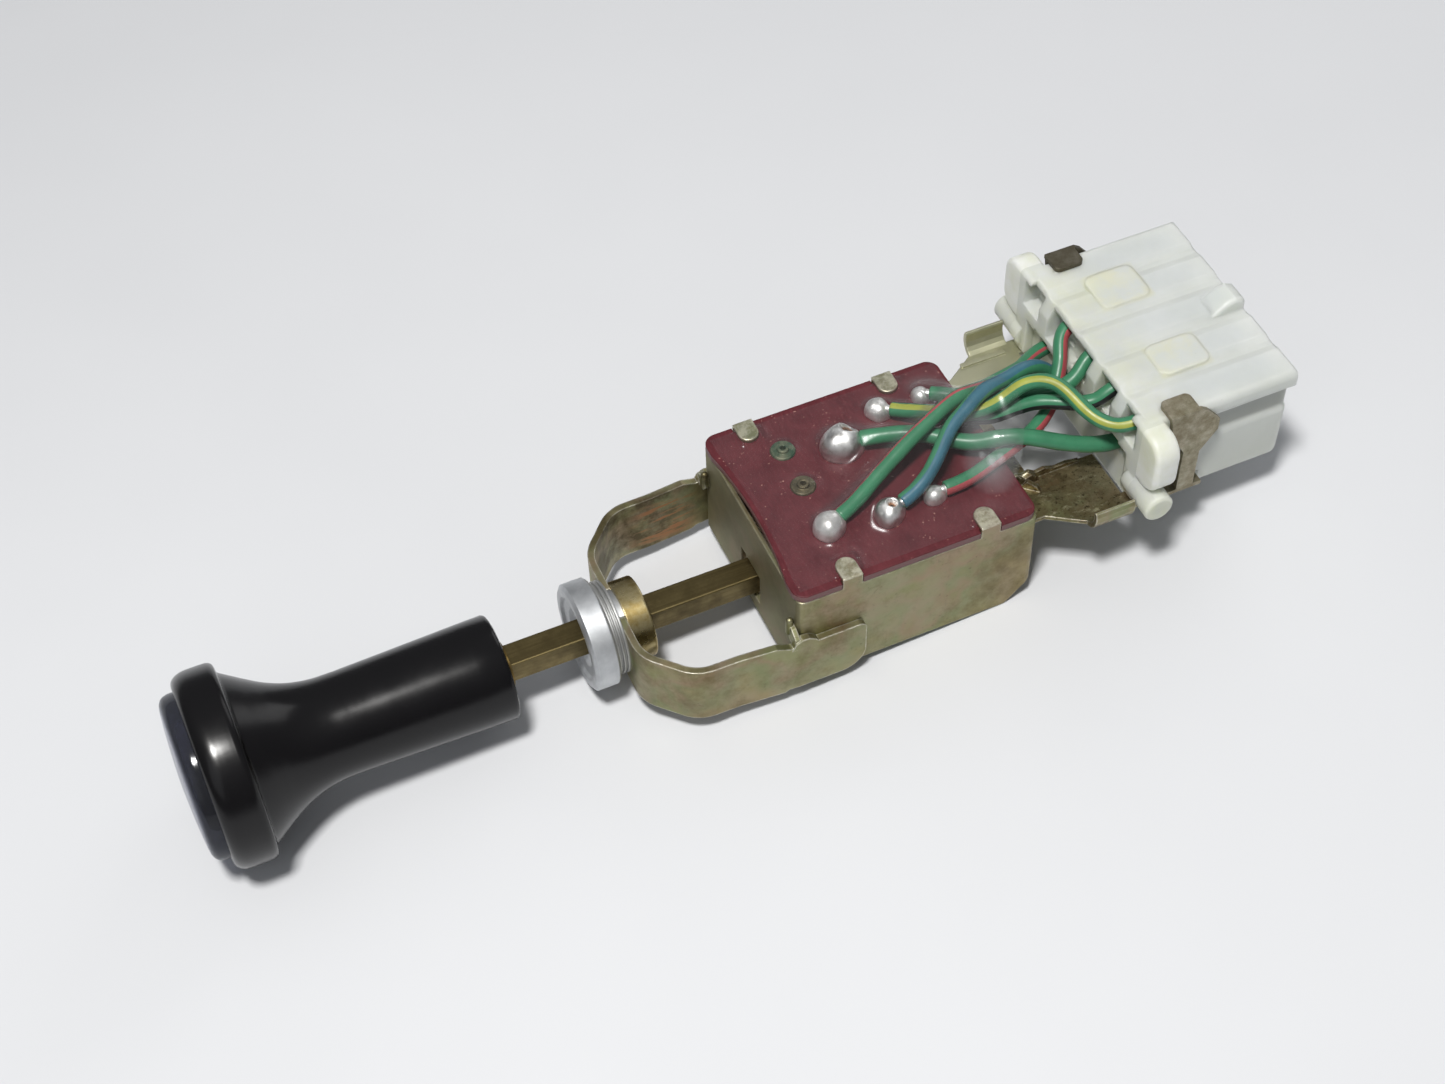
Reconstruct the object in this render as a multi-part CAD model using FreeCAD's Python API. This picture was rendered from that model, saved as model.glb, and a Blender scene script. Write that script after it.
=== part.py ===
import FreeCAD, Part
import os, math
from FreeCAD import Vector as V

# Push-pull lighting switch with a pull knob, panel yoke, terminal board and
# plug housing.  +X runs along the knob shaft from the knob to the plug, +Z is
# the normal of the terminal board, +Y completes the frame.  The origin is on
# the shaft axis at the front face of the yoke, where the panel is clamped.

# ---- driving dimensions (mm) ----
SHAFT = 4.4              # square brass bar
SHAFT_X0, SHAFT_X1 = -50.0, 50.0
TRAVEL = 12.6            # push-in travel of the knob

KNOB_END = -19.1         # mouth of the knob sleeve
KNOB_FRONT = -68.6       # front rim of the knob
SLEEVE_R = 8.8           # at the mouth, tapering to WAIST_R
WAIST_R = 8.25
RIM_R = 16.2
RIM_T = 6.9
LENS_R = 13.6
LENS_FRONT = -72.0
SHAFT_GAP = 0.06         # running gap of the bar in the bush, each side

NUT_R, NUT_X0, NUT_X1 = 9.1, -6.3, -2.0
THREAD_R = 6.2
BUSH_R, BUSH_X1 = 6.85, 5.2

STRAP_T = 1.2
STRAP_Z0, STRAP_Z1 = -6.6, 5.5
STRAP_FLAT = 11.4        # half width of the flat front plate
STRAP_HALF = 18.9        # half width over the arms
TAIL_X = 36.0

CASE_X0, CASE_X1 = 24.5, 66.8
CASE_HALF = 18.5
CASE_Z0 = -6.3
BOARD_Z0, BOARD_Z1 = 13.7, 15.1
SHEET = 0.8

BRKT_Z0, BRKT_Z1 = 9.7, 10.5
HSG_X0, HSG_XU, HSG_XL = 83.2, 111.8, 112.4
HSG_HALF, HSG_MID_HALF, HSG_LOW_HALF = 19.6, 18.1, 18.7
HSG_TOP, HSG_BOT = 28.0, 7.4
SLOT_Z0, SLOT_Z1 = 20.0, 24.4   # shadow slot between the two levels
PITCH = 7.8              # cavity pitch
CAV_W, CAV_H = 4.4, 3.5
UP_Z, LO_Z = 25.2, 16.6
SOCK_X0, SOCK_X1 = 91.2, 108.0

# name: (x, y, radius of the solder)
SOLDER = {
    1: (34.8, -7.8, 2.6), 2: (44.7, -9.2, 2.5), 3: (44.0, 6.8, 3.4),
    4: (52.9, -8.9, 1.8), 5: (52.8, 11.4, 2.1), 6: (60.7, 11.4, 1.6),
    7: (59.0, 2.2, 1.7),
}
RIVETS = {1: (35.2, 10.4), 2: (35.0, 2.2)}
TABS = [(33.9, -1), (58.2, -1), (31.5, 1), (56.9, 1)]

# centre lines of the seven wires, from the solder to the plug
WIRES = {
    "wire_red_a": (1.27, [
        (34.80, -7.80, 16.50), (39.62, -6.29, 17.36), (44.17, -4.24, 18.52), (48.73, -2.20, 19.72),
        (53.34, -0.30, 20.91), (58.05, 1.46, 21.89), (62.86, 3.12, 22.43), (67.75, 4.17, 21.30),
        (72.53, 5.59, 20.20), (77.06, 7.52, 18.78), (81.23, 10.19, 17.43), (85.87, 11.70, 16.60),
        (91.00, 11.70, 16.60),
    ]),
    "wire_blue": (1.27, [
        (44.70, -9.20, 16.50), (48.89, -8.49, 17.56), (52.69, -6.84, 18.92), (56.01, -4.31, 20.26),
        (59.23, -1.70, 21.67), (63.04, 0.10, 22.86), (67.02, 1.75, 23.52), (71.20, 2.90, 22.91),
        (75.32, 4.21, 22.18), (79.25, 4.80, 20.46), (82.55, 4.13, 17.65), (86.62, 3.90, 16.60),
        (91.00, 3.90, 16.60),
    ]),
    "wire_plain_a": (1.42, [
        (44.00, 6.80, 16.80), (47.98, 5.26, 17.57), (51.92, 3.59, 18.23), (55.71, 1.54, 18.52),
        (59.10, -1.16, 18.47), (62.60, -3.68, 18.60), (66.48, -5.38, 19.52), (70.49, -6.93, 19.38),
        (74.34, -8.62, 18.33), (78.25, -10.20, 17.34), (82.36, -11.37, 16.71), (86.67, -11.70, 16.60),
        (91.00, -11.70, 16.60),
    ]),
    "wire_yellow": (1.27, [
        (52.80, 11.40, 16.50), (55.80, 8.32, 17.38), (58.92, 5.45, 18.54), (62.07, 2.59, 19.62),
        (65.76, 0.46, 20.57), (69.38, -0.54, 22.74), (72.96, -1.11, 25.19), (76.36, -3.51, 26.20),
        (78.28, -7.33, 25.28), (79.89, -11.23, 24.07), (82.75, -14.48, 24.05), (86.60, -15.60, 25.20),
        (91.00, -15.60, 25.20),
    ]),
    "wire_black": (1.27, [
        (59.00, 2.20, 16.75), (62.00, 2.68, 16.63), (64.86, 2.26, 17.35), (67.35, 0.68, 18.05),
        (69.86, -0.54, 19.24), (72.39, -1.56, 20.59), (74.89, -2.87, 21.69), (77.35, -4.59, 22.15),
        (79.82, -6.32, 22.55), (82.43, -7.56, 23.41), (84.99, -7.81, 25.02), (87.96, -7.80, 25.20),
        (91.00, -7.80, 25.20),
    ]),
    "wire_plain_b": (1.27, [
        (60.70, 11.40, 16.50), (63.03, 9.49, 16.89), (65.43, 7.66, 17.28), (67.85, 5.89, 17.71),
        (70.24, 4.03, 18.04), (72.55, 2.30, 18.97), (74.84, 0.54, 19.93), (77.18, -0.98, 21.12),
        (79.98, -1.62, 22.01), (82.63, -1.15, 23.38), (85.00, -0.12, 24.98), (87.96, 0.00, 25.20),
        (91.00, 0.00, 25.20),
    ]),
    "wire_red_b": (1.27, [
        (52.90, -8.90, 16.50), (56.74, -8.95, 16.63), (60.55, -8.35, 16.63), (64.22, -7.19, 16.63),
        (67.90, -6.03, 16.63), (71.57, -4.86, 16.88), (75.06, -3.36, 17.45), (78.14, -1.20, 18.31),
        (80.35, 1.25, 20.24), (82.26, 3.86, 22.35), (84.01, 6.68, 24.32), (87.14, 7.80, 25.20),
        (91.00, 7.80, 25.20),
    ]),
}


def box(x0, x1, y0, y1, z0, z1):
    return Part.makeBox(x1 - x0, y1 - y0, z1 - z0, V(x0, y0, z0))


def cyl(r, x0, x1, y=0.0, z=0.0):
    return Part.makeCylinder(r, x1 - x0, V(x0, y, z), V(1, 0, 0))


def cylz(r, x, y, z0, z1):
    return Part.makeCylinder(r, z1 - z0, V(x, y, z0), V(0, 0, 1))


def cyly(r, x, z, y0, y1):
    return Part.makeCylinder(r, y1 - y0, V(x, y0, z), V(0, 1, 0))


def prism(pts, vec):
    w = Part.makePolygon([V(*p) for p in pts] + [V(*pts[0])])
    return Part.Face(w).extrude(V(*vec))


def spin(pts):
    # profile in (x, r), turned about the shaft axis
    w = Part.makePolygon([V(x, r, 0) for x, r in pts] + [V(pts[0][0], pts[0][1], 0)])
    return Part.Face(w).revolve(V(0, 0, 0), V(1, 0, 0), 360)


def round_edges(shape, r, pick):
    es = [e for e in shape.Edges if pick(e)]
    return shape.makeFillet(r, es) if es else shape


def along(e, axis):
    a, b = e.Vertexes[0].Point, e.Vertexes[-1].Point
    d = (b - a)
    if d.Length < 1e-6:
        return False
    d = d / d.Length
    return abs(abs(d.dot(V(*axis))) - 1) < 1e-6


def tube(pts, r):
    c = Part.BSplineCurve()
    c.interpolate([V(*p) for p in pts])
    e = c.toShape()
    t = c.tangent(c.FirstParameter)[0]
    ring = Part.Wire([Part.makeCircle(r, V(*pts[0]), t)])
    s = Part.Wire([e]).makePipeShell([ring], True, False)
    if s.ShapeType != "Solid":
        s = Part.Solid(s)
    return s


def one(shape):
    shape = shape.removeSplitter()
    s = shape.Solids
    return s[0] if len(s) == 1 else shape


parts = {}

# ---- knob ----
K = KNOB_FRONT
rim_back = K + RIM_T
prof = [(KNOB_END, 5.0), (KNOB_END, SLEEVE_R - 0.6), (KNOB_END - 0.6, SLEEVE_R), (-46.0, WAIST_R)]
prof += [(-49.0, 8.45), (-51.5, 8.95), (-53.8, 9.7), (-56.0, 10.8), (-58.0, 12.0), (-59.8, 13.2), (-61.0, 14.0)]
prof += [(rim_back + 0.35, 14.5), (rim_back + 0.25, 15.2), (rim_back, RIM_R - 0.45), (rim_back - 0.7, RIM_R), (K + 2.2, RIM_R), (K + 0.9, RIM_R - 0.5),
         (K + 0.2, RIM_R - 1.4), (K, RIM_R - 2.3), (K, LENS_R + 0.05), (K + 2.5, LENS_R + 0.05),
         (K + 2.5, 0.0), (-52.0, 0.0), (-52.0, 4.55), (KNOB_END - 2.2, 4.55), (KNOB_END - 2.2, 5.0)]
parts["knob_body"] = spin(prof)
parts["knob_symbol_disc"] = cyl(LENS_R - 0.2, KNOB_FRONT + 2.1, KNOB_FRONT + 2.5)
dome = [(KNOB_FRONT + 2.05, 0.0), (KNOB_FRONT + 2.05, LENS_R), (LENS_FRONT + 2.2, LENS_R)]
for i in range(1, 9):
    a = math.radians(90 * i / 8.0)
    dome.append((LENS_FRONT + 2.2 - 1.2 * math.sin(a), LENS_R - 1.6 * (1 - math.cos(a))))
for i in range(1, 7):
    f = i / 6.0
    dome.append((LENS_FRONT + 1.0 - 1.0 * (1 - (1 - f) ** 2), (LENS_R - 1.6) * (1 - f)))
parts["knob_lens"] = spin(dome)
sq = SHAFT / 2
bar = box(SHAFT_X0, SHAFT_X1, -sq, sq, -sq, sq)
bar = round_edges(bar, 0.25, lambda e: along(e, (1, 0, 0)))
insert = cyl(4.5, -51.0, KNOB_END - 2.2).fuse(cyl(3.75, KNOB_END - 2.2, KNOB_END + 0.9))
insert = insert.cut(bar)
parts["knob_insert"] = one(insert)

# ---- moving block inside the case ----
SL_X0, SL_X1 = CASE_X0 + SHEET + 0.05, 51.3
slider = box(SL_X0, SL_X1, -17.6, 17.6, CASE_Z0 + SHEET + 0.1, 4.6)
slider = slider.cut(box(SL_X0 + 6, SL_X1 - 4, 13.4, 17.7, -3.5, 4.7)).cut(box(SL_X0 + 6, SL_X1 - 4, -17.7, -13.4, -3.5, 4.7))
for s in (-1, 1):
    for xa in (28.4, 50.25):
        slider = slider.fuse(box(xa, xa + 1.0, s * 8 - 3.0, s * 8 + 3.0, 4.6, 12.0))
slider = slider.cut(bar)
slider = slider.cut(prism([(SL_X1 - 3.4, -18, CASE_Z0 + SHEET), (SL_X1 + 0.1, -18, CASE_Z0 + SHEET), (SL_X1 + 0.1, -18, CASE_Z0 + SHEET + 3.5)], (0, 36, 0)))
for s in (-1, 1):
    for xs in (34.0, 45.0):
        slider = slider.cut(cylz(2.9, xs, s * 8, 2.2, 5.0))
pin = cylz(1.0, 41.0, 0, CASE_Z0 + SHEET + 0.3, 4.4)
parts["slider"] = one(slider.cut(pin))
parts["slider_pin"] = pin
parts["shaft"] = one(bar.cut(pin))
for s, nm in ((-1, "near"), (1, "far")):
    pl = box(29.5, 50.15, s * 8 - 3.0, s * 8 + 3.0, 11.6, 12.62)
    pl = round_edges(pl, 0.4, lambda e: along(e, (0, 1, 0)) and e.CenterOfMass.z > 12)
    parts["contact_plate_" + nm] = pl
    for k, xs in ((1, 34.0), (2, 45.0)):
        hz0, hz1 = 2.2 + 0.3, 11.6 - 0.3
        helix = Part.makeHelix(1.75, hz1 - hz0, 2.1)
        helix.translate(V(xs, s * 8, hz0))
        ring = Part.Wire([Part.makeCircle(0.28, V(xs + 2.1, s * 8, hz0), V(0, 1, 0.13))])
        sp = Part.Wire(helix.Edges).makePipeShell([ring], True, True)
        if sp.ShapeType != "Solid":
            sp = Part.Solid(sp)
        parts["contact_spring_%s_%d" % (nm, k)] = sp

# ---- panel fastening ----
nut = spin([(NUT_X0 + 1.6, 3.35), (NUT_X0 + 0.7, 5.0), (NUT_X0 + 0.5, 6.6), (NUT_X0, 7.2), (NUT_X0, NUT_R - 0.7), (NUT_X0 + 0.5, NUT_R), (NUT_X1 - 0.4, NUT_R),
            (NUT_X1, NUT_R - 0.4), (NUT_X1, 7.9), (-1.5, 7.9), (-1.4, 7.5), (-1.2, 7.5), (-1.1, 7.9), (-0.8, 7.9),
            (-0.7, 7.5), (-0.5, 7.5), (-0.4, 7.9), (0.0, 7.9), (0.0, THREAD_R), (4.2, THREAD_R), (4.2, 3.35)])
parts["ferrule_nut"] = nut
hole = box(-10, 20, -sq - SHAFT_GAP, sq + SHAFT_GAP, -sq - SHAFT_GAP, sq + SHAFT_GAP)
bush = cyl(BUSH_R, STRAP_T, BUSH_X1).cut(cyl(THREAD_R + 0.03, 0, 4.3)).cut(hole)
bush = round_edges(bush, 0.3, lambda e: abs(e.CenterOfMass.x - BUSH_X1) < 1e-4 and e.Length > 40)
parts["panel_bush"] = one(bush)

# ---- yoke: one bent strap ----
t = STRAP_T
BEND_R = 7.0             # outer bend radius


def strap_plan(z0, z1):
    o = [(0, -STRAP_FLAT), (7.0, -STRAP_HALF + 0.1), (14.0, -STRAP_HALF), (24.2, -19.75), (TAIL_X, -19.75)]
    i = [(TAIL_X, -18.52), (24.45, -18.52), (14.2, -STRAP_HALF + t), (7.5, -STRAP_HALF + t + 0.1), (t, -STRAP_FLAT + 0.5)]
    pts = o + i
    pts += [(x, -y) for x, y in reversed(i)] + [(x, -y) for x, y in reversed(o)]
    return prism([(x, y, z0) for x, y in pts], (0, 0, z1 - z0))


yoke = strap_plan(STRAP_Z0, STRAP_Z1)


def near_xy(e, x, y):
    c = e.CenterOfMass
    return along(e, (0, 0, 1)) and abs(c.x - x) < 0.3 and abs(abs(c.y) - y) < 0.3


yoke = round_edges(yoke, BEND_R, lambda e: near_xy(e, 0, STRAP_FLAT) or near_xy(e, 7.0, STRAP_HALF - 0.1))
yoke = round_edges(yoke, BEND_R - t, lambda e: near_xy(e, t, STRAP_FLAT - 0.5) or near_xy(e, 7.5, STRAP_HALF - t - 0.1))
# shorter tails along the case, round at the rear corners
yoke = yoke.cut(prism([(20.2, -30, 5.6), (22.8, -30, 4.6), (40, -30, 4.6), (40, -30, 10), (20.2, -30, 10)], (0, 60, 0)))
yoke = yoke.cut(prism([(21.6, -30, -6.7), (22.6, -30, -6.1), (40, -30, -6.1), (40, -30, -10), (21.6, -30, -10)], (0, 60, 0)))
for s in (-1, 1):
    y0, y1 = (18.0, 20.5) if s > 0 else (-20.5, -18.0)
    rr = 4.2
    corner = box(TAIL_X - rr, TAIL_X + 1, y0, y1, -7, -6.1 + rr).cut(cyly(rr, TAIL_X - rr, -6.1 + rr, y0 - 1, y1 + 1))
    yoke = yoke.cut(corner)
    r2 = 1.2
    corner = box(TAIL_X - r2, TAIL_X + 1, y0, y1, 4.6 - r2, 6).cut(cyly(r2, TAIL_X - r2, 4.6 - r2, y0 - 1, y1 + 1))
    yoke = yoke.cut(corner)
    # low crimp ear on the case side, and a lug with a rolled rib across its front
    a = 18.52 if s > 0 else -19.75
    yoke = yoke.fuse(prism([(22.9, a, 4.0), (23.5, a, 5.3), (24.7, a, 6.0), (26.0, a, 5.9), (27.0, a, 5.3), (27.8, a, 4.2), (27.8, a, 4.0)], (0, 1.23, 0)))
    lug = prism([(23.6, s * 19.4, 3.8), (23.6, s * 19.4, 6.0), (23.6, s * 17.8, 7.1), (23.6, s * 16.3, 7.3), (23.6, s * 15.9, 5.6), (23.6, s * 17.2, 3.8)], (0.85, 0, 0))
    yoke = yoke.fuse(lug)
    rib = cylz(0.62, 23.75, s * 16.7, 5.4, 8.1).fuse(Part.makeSphere(0.62, V(23.75, s * 16.7, 8.1))).fuse(Part.makeSphere(0.62, V(23.75, s * 16.7, 5.4)))
    yoke = yoke.fuse(rib.cut(box(24.45, 26, -20, 20, 0, 12)))
yoke = yoke.cut(cyl(THREAD_R + 0.05, -1, 5))
parts["yoke"] = one(yoke)

# ---- case ----
cc = 4.6
op = [(CASE_X0, 0, CASE_Z0), (CASE_X1 - cc, 0, CASE_Z0), (CASE_X1, 0, CASE_Z0 + cc), (CASE_X1, 0, BOARD_Z0), (CASE_X0, 0, BOARD_Z0)]
ip = [(CASE_X0 + SHEET, 0, CASE_Z0 + SHEET), (CASE_X1 - cc - 0.3, 0, CASE_Z0 + SHEET), (CASE_X1 - SHEET, 0, CASE_Z0 + cc + 0.3),
      (CASE_X1 - SHEET, 0, BOARD_Z0 + 1), (CASE_X0 + SHEET, 0, BOARD_Z0 + 1)]
outer = prism([(x, -CASE_HALF, z) for x, y, z in op], (0, 2 * CASE_HALF, 0))
outer = round_edges(outer, 1.2, lambda e: along(e, (0, 0, 1)))
inner = prism([(x, -CASE_HALF + SHEET, z) for x, y, z in ip], (0, 2 * (CASE_HALF - SHEET), 0))
case = outer.cut(inner)
case = case.cut(box(CASE_X0 - 1, CASE_X0 + SHEET + 0.5, -3.6, 3.6, -3.4, 3.4))
TW = 3.5
for tx, s in TABS:
    a, b = (CASE_HALF - SHEET, CASE_HALF) if s > 0 else (-CASE_HALF, -CASE_HALF + SHEET)
    case = case.fuse(box(tx - TW / 2, tx + TW / 2, a, b, BOARD_Z0 - 0.5, BOARD_Z1 + SHEET))
    yi = s * 15.9
    c, d = (yi, b) if s > 0 else (a, yi)
    fold = box(tx - TW / 2, tx + TW / 2, c, d, BOARD_Z1, BOARD_Z1 + SHEET).fuse(cylz(TW / 2, tx, yi, BOARD_Z1, BOARD_Z1 + SHEET))
    case = case.fuse(fold)
parts["case"] = one(case)

# ---- terminal board ----
board = box(CASE_X0 - 0.3, CASE_X1, -CASE_HALF, CASE_HALF, BOARD_Z0, BOARD_Z1)
board = round_edges(board, 2.2, lambda e: along(e, (0, 0, 1)))
DIP = 1.35
R = (14.5 ** 2 + DIP ** 2) / (2 * DIP)
board = board.cut(cylz(R, CASE_X0 - 0.3 + DIP - R, 0, BOARD_Z0 - 1, BOARD_Z1 + 1))
for tx, s in TABS:
    a, b = (CASE_HALF - SHEET - 0.05, CASE_HALF + 1) if s > 0 else (-CASE_HALF - 1, -CASE_HALF + SHEET + 0.05)
    board = board.cut(box(tx - TW / 2 - 0.1, tx + TW / 2 + 0.1, a, b, BOARD_Z0 - 1, BOARD_Z1 + 1))
for k, (x, y, r) in SOLDER.items():
    board = board.cut(cylz(0.9, x, y, BOARD_Z0 - 1, BOARD_Z1 + 1))
for k, (x, y) in RIVETS.items():
    board = board.cut(cylz(1.2, x, y, BOARD_Z0 - 1, BOARD_Z1 + 1))
parts["terminal_board"] = one(board)

# ---- wires ----
wires = {}
for nm, (r, pts) in WIRES.items():
    wires[nm] = tube(pts, r)
    parts[nm] = wires[nm]

# ---- terminals and solder ----
for k, (x, y, r) in SOLDER.items():
    term = box(x - 2.2, x + 2.2, y - 1.9, y + 1.9, BOARD_Z0 - 1.0, BOARD_Z0).fuse(cylz(0.9, x, y, BOARD_Z0, BOARD_Z1 + 0.1))
    parts["terminal_%d" % k] = one(term)
    zc = BOARD_Z1 + 0.28 * r
    ball = Part.makeSphere(r * 1.04, V(x, y, zc)).common(box(x - 9, x + 9, y - 9, y + 9, BOARD_Z1, 40))
    ball = ball.cut(cylz(0.9, x, y, BOARD_Z1 - 1, BOARD_Z1 + 0.1))
    for w in wires.values():
        if w.BoundBox.intersect(ball.BoundBox):
            ball = ball.cut(w)
    ss = sorted(ball.Solids, key=lambda q: -q.Volume)
    parts["solder_%d" % k] = ss[0]
for k, (x, y) in RIVETS.items():
    head = Part.makeCone(2.15, 1.95, 0.33, V(x, y, BOARD_Z1)).fuse(Part.makeCone(1.15, 0.95, 0.8, V(x, y, BOARD_Z1)))
    rv = head.fuse(cylz(1.2, x, y, BOARD_Z0, BOARD_Z1)).fuse(cylz(1.9, x, y, BOARD_Z0 - 0.7, BOARD_Z0))
    rv = rv.cut(cylz(0.5, x, y, BOARD_Z1 - 0.6, BOARD_Z1 + 3))
    parts["board_rivet_%d" % k] = one(rv)

# ---- clear insulating film with a blister over each joint ----
FT = 0.25
f0 = BOARD_Z1 + 0.02
film = box(CASE_X0 + 1.2, CASE_X1 - 0.6, -17.4, 17.4, f0, f0 + FT)
film = round_edges(film, 2.0, lambda e: along(e, (0, 0, 1)))
cavity = None
for k, (x, y, r) in list(SOLDER.items()) + [(10 + k, (x, y, 2.4)) for k, (x, y) in RIVETS.items()]:
    zc = BOARD_Z1 + 0.28 * r if k < 10 else BOARD_Z1 - 2.45
    ri = (r * 1.04 if k < 10 else 3.4) + 0.12
    cap = Part.makeSphere(ri + FT, V(x, y, zc)).common(box(x - 9, x + 9, y - 9, y + 9, f0, 40))
    film = film.fuse(cap)
    hollow = Part.makeSphere(ri, V(x, y, zc))
    cavity = hollow if cavity is None else cavity.fuse(hollow)
film = film.cut(cavity)
for tx, s in TABS:
    a, b = (13.9, 18) if s > 0 else (-18, -13.9)
    film = film.cut(box(tx - TW / 2 - 0.3, tx + TW / 2 + 0.3, a, b, 15, 20))
for nm, (r, pts) in WIRES.items():
    # the film is slit along each wire
    hw = r + 0.3
    for (xa, ya, za), (xb, yb, zb) in zip(pts[:-1], pts[1:]):
        if min(xa, xb) > CASE_X1:
            continue
        d = math.hypot(xb - xa, yb - ya)
        ux, uy = (xb - xa) / d, (yb - ya) / d
        e = 0.7
        film = film.cut(prism([(xa - e * ux - hw * uy, ya - e * uy + hw * ux, 14.9), (xb + e * ux - hw * uy, yb + e * uy + hw * ux, 14.9),
                               (xb + e * ux + hw * uy, yb + e * uy - hw * ux, 14.9), (xa - e * ux + hw * uy, ya - e * uy - hw * ux, 14.9)], (0, 0, 8)))
ss = sorted(film.Solids, key=lambda q: -q.Volume)
parts["insulating_film"] = ss[0]

# ---- tail bracket with the two plug clips ----
bp = [(CASE_X1, -16.5), (69.3, -16.5), (75.0, -20.3), (HSG_X0 - 0.1, -20.5), (96.0, -20.5), (96.0, -17.3), (82.9, -17.3), (82.9, -8.0), (71.0, -8.0)]
bp += [(x, -y) for x, y in reversed(bp)]
brk = prism([(x, y, BRKT_Z0) for x, y in bp], (0, 0, BRKT_Z1 - BRKT_Z0))
brk = brk.fuse(box(CASE_X1, CASE_X1 + 0.8, -16.5, 16.5, 0.5, BRKT_Z1))
for s in (-1, 1):
    lip = prism([(75.0, s * q[0], q[1]) for q in ((19.2, BRKT_Z0), (20.5, BRKT_Z0), (21.5, 10.2), (22.3, 11.1), (22.7, 12.3), (22.7, 13.4), (22.4, 14.2), (22.0, 14.3),
                 (21.8, 14.0), (21.9, 13.2), (21.8, 12.2), (21.4, 11.4), (20.8, 10.8), (20.0, BRKT_Z1), (19.2, BRKT_Z1))], (82.1 - 75.0, 0, 0))
    brk = brk.fuse(lip)
    # clip: narrow neck, wide head, flap folded over the housing
    zz = HSG_TOP + 0.85
    clip = prism([(91.3, s * 19.7, BRKT_Z0), (94.4, s * 19.7, BRKT_Z0), (94.4, s * 19.7, 18.5), (97.2, s * 19.7, 22.5), (97.2, s * 19.7, 25.0), (94.6, s * 19.7, zz - 0.8),
                  (93.4, s * 19.7, zz), (87.9, s * 19.7, zz), (88.6, s * 19.7, 24.0), (91.3, s * 19.7, 19.5)], (0, s * 0.8, 0))
    brk = brk.fuse(clip)
    fl = box(87.9, 93.2, min(s * 16.3, s * 20.5), max(s * 16.3, s * 20.5), HSG_TOP + 0.05, zz)
    fl = round_edges(fl, 1.0, lambda e: along(e, (0, 0, 1)) and abs(e.CenterOfMass.y) < 17)
    brk = brk.fuse(fl)
# stiffening bead on the far side and the torn fold along the inner edge
for s in (1,):
    brk = brk.fuse(box(72.4, 80.8, min(s * 18.0, s * 18.9), max(s * 18.0, s * 18.9), BRKT_Z1 - 0.1, BRKT_Z1 + 0.4))
parts["tail_bracket"] = one(brk)
fold = prism([(67.6, -8.6, BRKT_Z1 - 0.3), (72.0, -8.6, BRKT_Z1 - 0.3), (71.6, -8.6, BRKT_Z1 + 1.0), (70.4, -8.6, BRKT_Z1 + 2.0), (69.2, -8.6, BRKT_Z1 + 1.5), (68.3, -8.6, BRKT_Z1 + 2.2)], (0.3, -0.8, 0))
fold2 = prism([(68.4, -9.2, BRKT_Z1 - 0.2), (71.2, -11.8, BRKT_Z1 - 0.2), (70.6, -9.2 - 2.2 * 2.6 / 2.8, BRKT_Z1 + 0.9), (69.4, -9.2 - 1.0 * 2.6 / 2.8, BRKT_Z1 + 1.5)], (0.55, 0.6, 0))
z1 = BRKT_Z1
wall = prism([(67.4, -8.0, z1 - 0.3), (80.0, -8.0, z1 - 0.3), (80.0, -8.0, z1 + 0.35), (77.6, -8.0, z1 + 0.9), (75.4, -8.0, z1 + 0.7), (73.4, -8.0, z1 + 1.5), (71.8, -8.0, z1 + 1.2),
              (70.6, -8.0, z1 + 2.1), (69.4, -8.0, z1 + 1.7), (68.4, -8.0, z1 + 2.2), (67.4, -8.0, z1 + 1.6)], (0, -0.62, 0))
parts["tail_bracket"] = one(parts["tail_bracket"].fuse(wall).fuse(fold).fuse(fold2))

# ---- plug housing: wide upper level, slot, narrower lower level ----
upper = box(HSG_X0, HSG_XU, -HSG_HALF, HSG_HALF, SLOT_Z1, HSG_TOP)
upper = round_edges(upper, 1.1, lambda e: along(e, (1, 0, 0)))
middle = box(HSG_X0, HSG_XL - 1.0, -HSG_MID_HALF, HSG_MID_HALF, SLOT_Z0 - 1, SLOT_Z1 + 1)
lower = box(HSG_X0 + 1.6, 97.0, -17.0, 17.0, HSG_BOT, SLOT_Z0).fuse(box(HSG_X0 + 1.6, 97.5, -HSG_LOW_HALF, HSG_LOW_HALF, BRKT_Z1 + 0.5, SLOT_Z0 - 0.4))
tail = box(96.5, HSG_XL, -HSG_LOW_HALF, HSG_LOW_HALF, HSG_BOT, SLOT_Z0)
tail = round_edges(tail, 1.8, lambda e: along(e, (1, 0, 0)) or (along(e, (0, 1, 0)) or along(e, (0, 0, 1))) and e.CenterOfMass.x > 110)
hsg = upper.fuse(middle).fuse(lower).fuse(tail)
# broad hollows between the rounded tops of the five barrels
for k in (-1.5, -0.5, 0.5, 1.5):
    g = prism([(HSG_X0 - 1, k * PITCH - 1.9, HSG_TOP + 0.02), (HSG_X0 - 1, k * PITCH - 0.5, HSG_TOP - 0.38), (HSG_X0 - 1, k * PITCH + 0.5, HSG_TOP - 0.38), (HSG_X0 - 1, k * PITCH + 1.9, HSG_TOP + 0.02),
               (HSG_X0 - 1, k * PITCH + 1.9, HSG_TOP + 1), (HSG_X0 - 1, k * PITCH - 1.9, HSG_TOP + 1)], (40, 0, 0))
    hsg = hsg.cut(g)
# sloped top of the wire side
hsg = hsg.cut(prism([(HSG_X0 - 0.1, -30, 24.6), (HSG_X0, -30, 24.6), (HSG_X0 + 1.5, -30, HSG_TOP + 0.1), (HSG_X0 - 0.1, -30, HSG_TOP + 0.1)], (0, 60, 0)))
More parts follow.
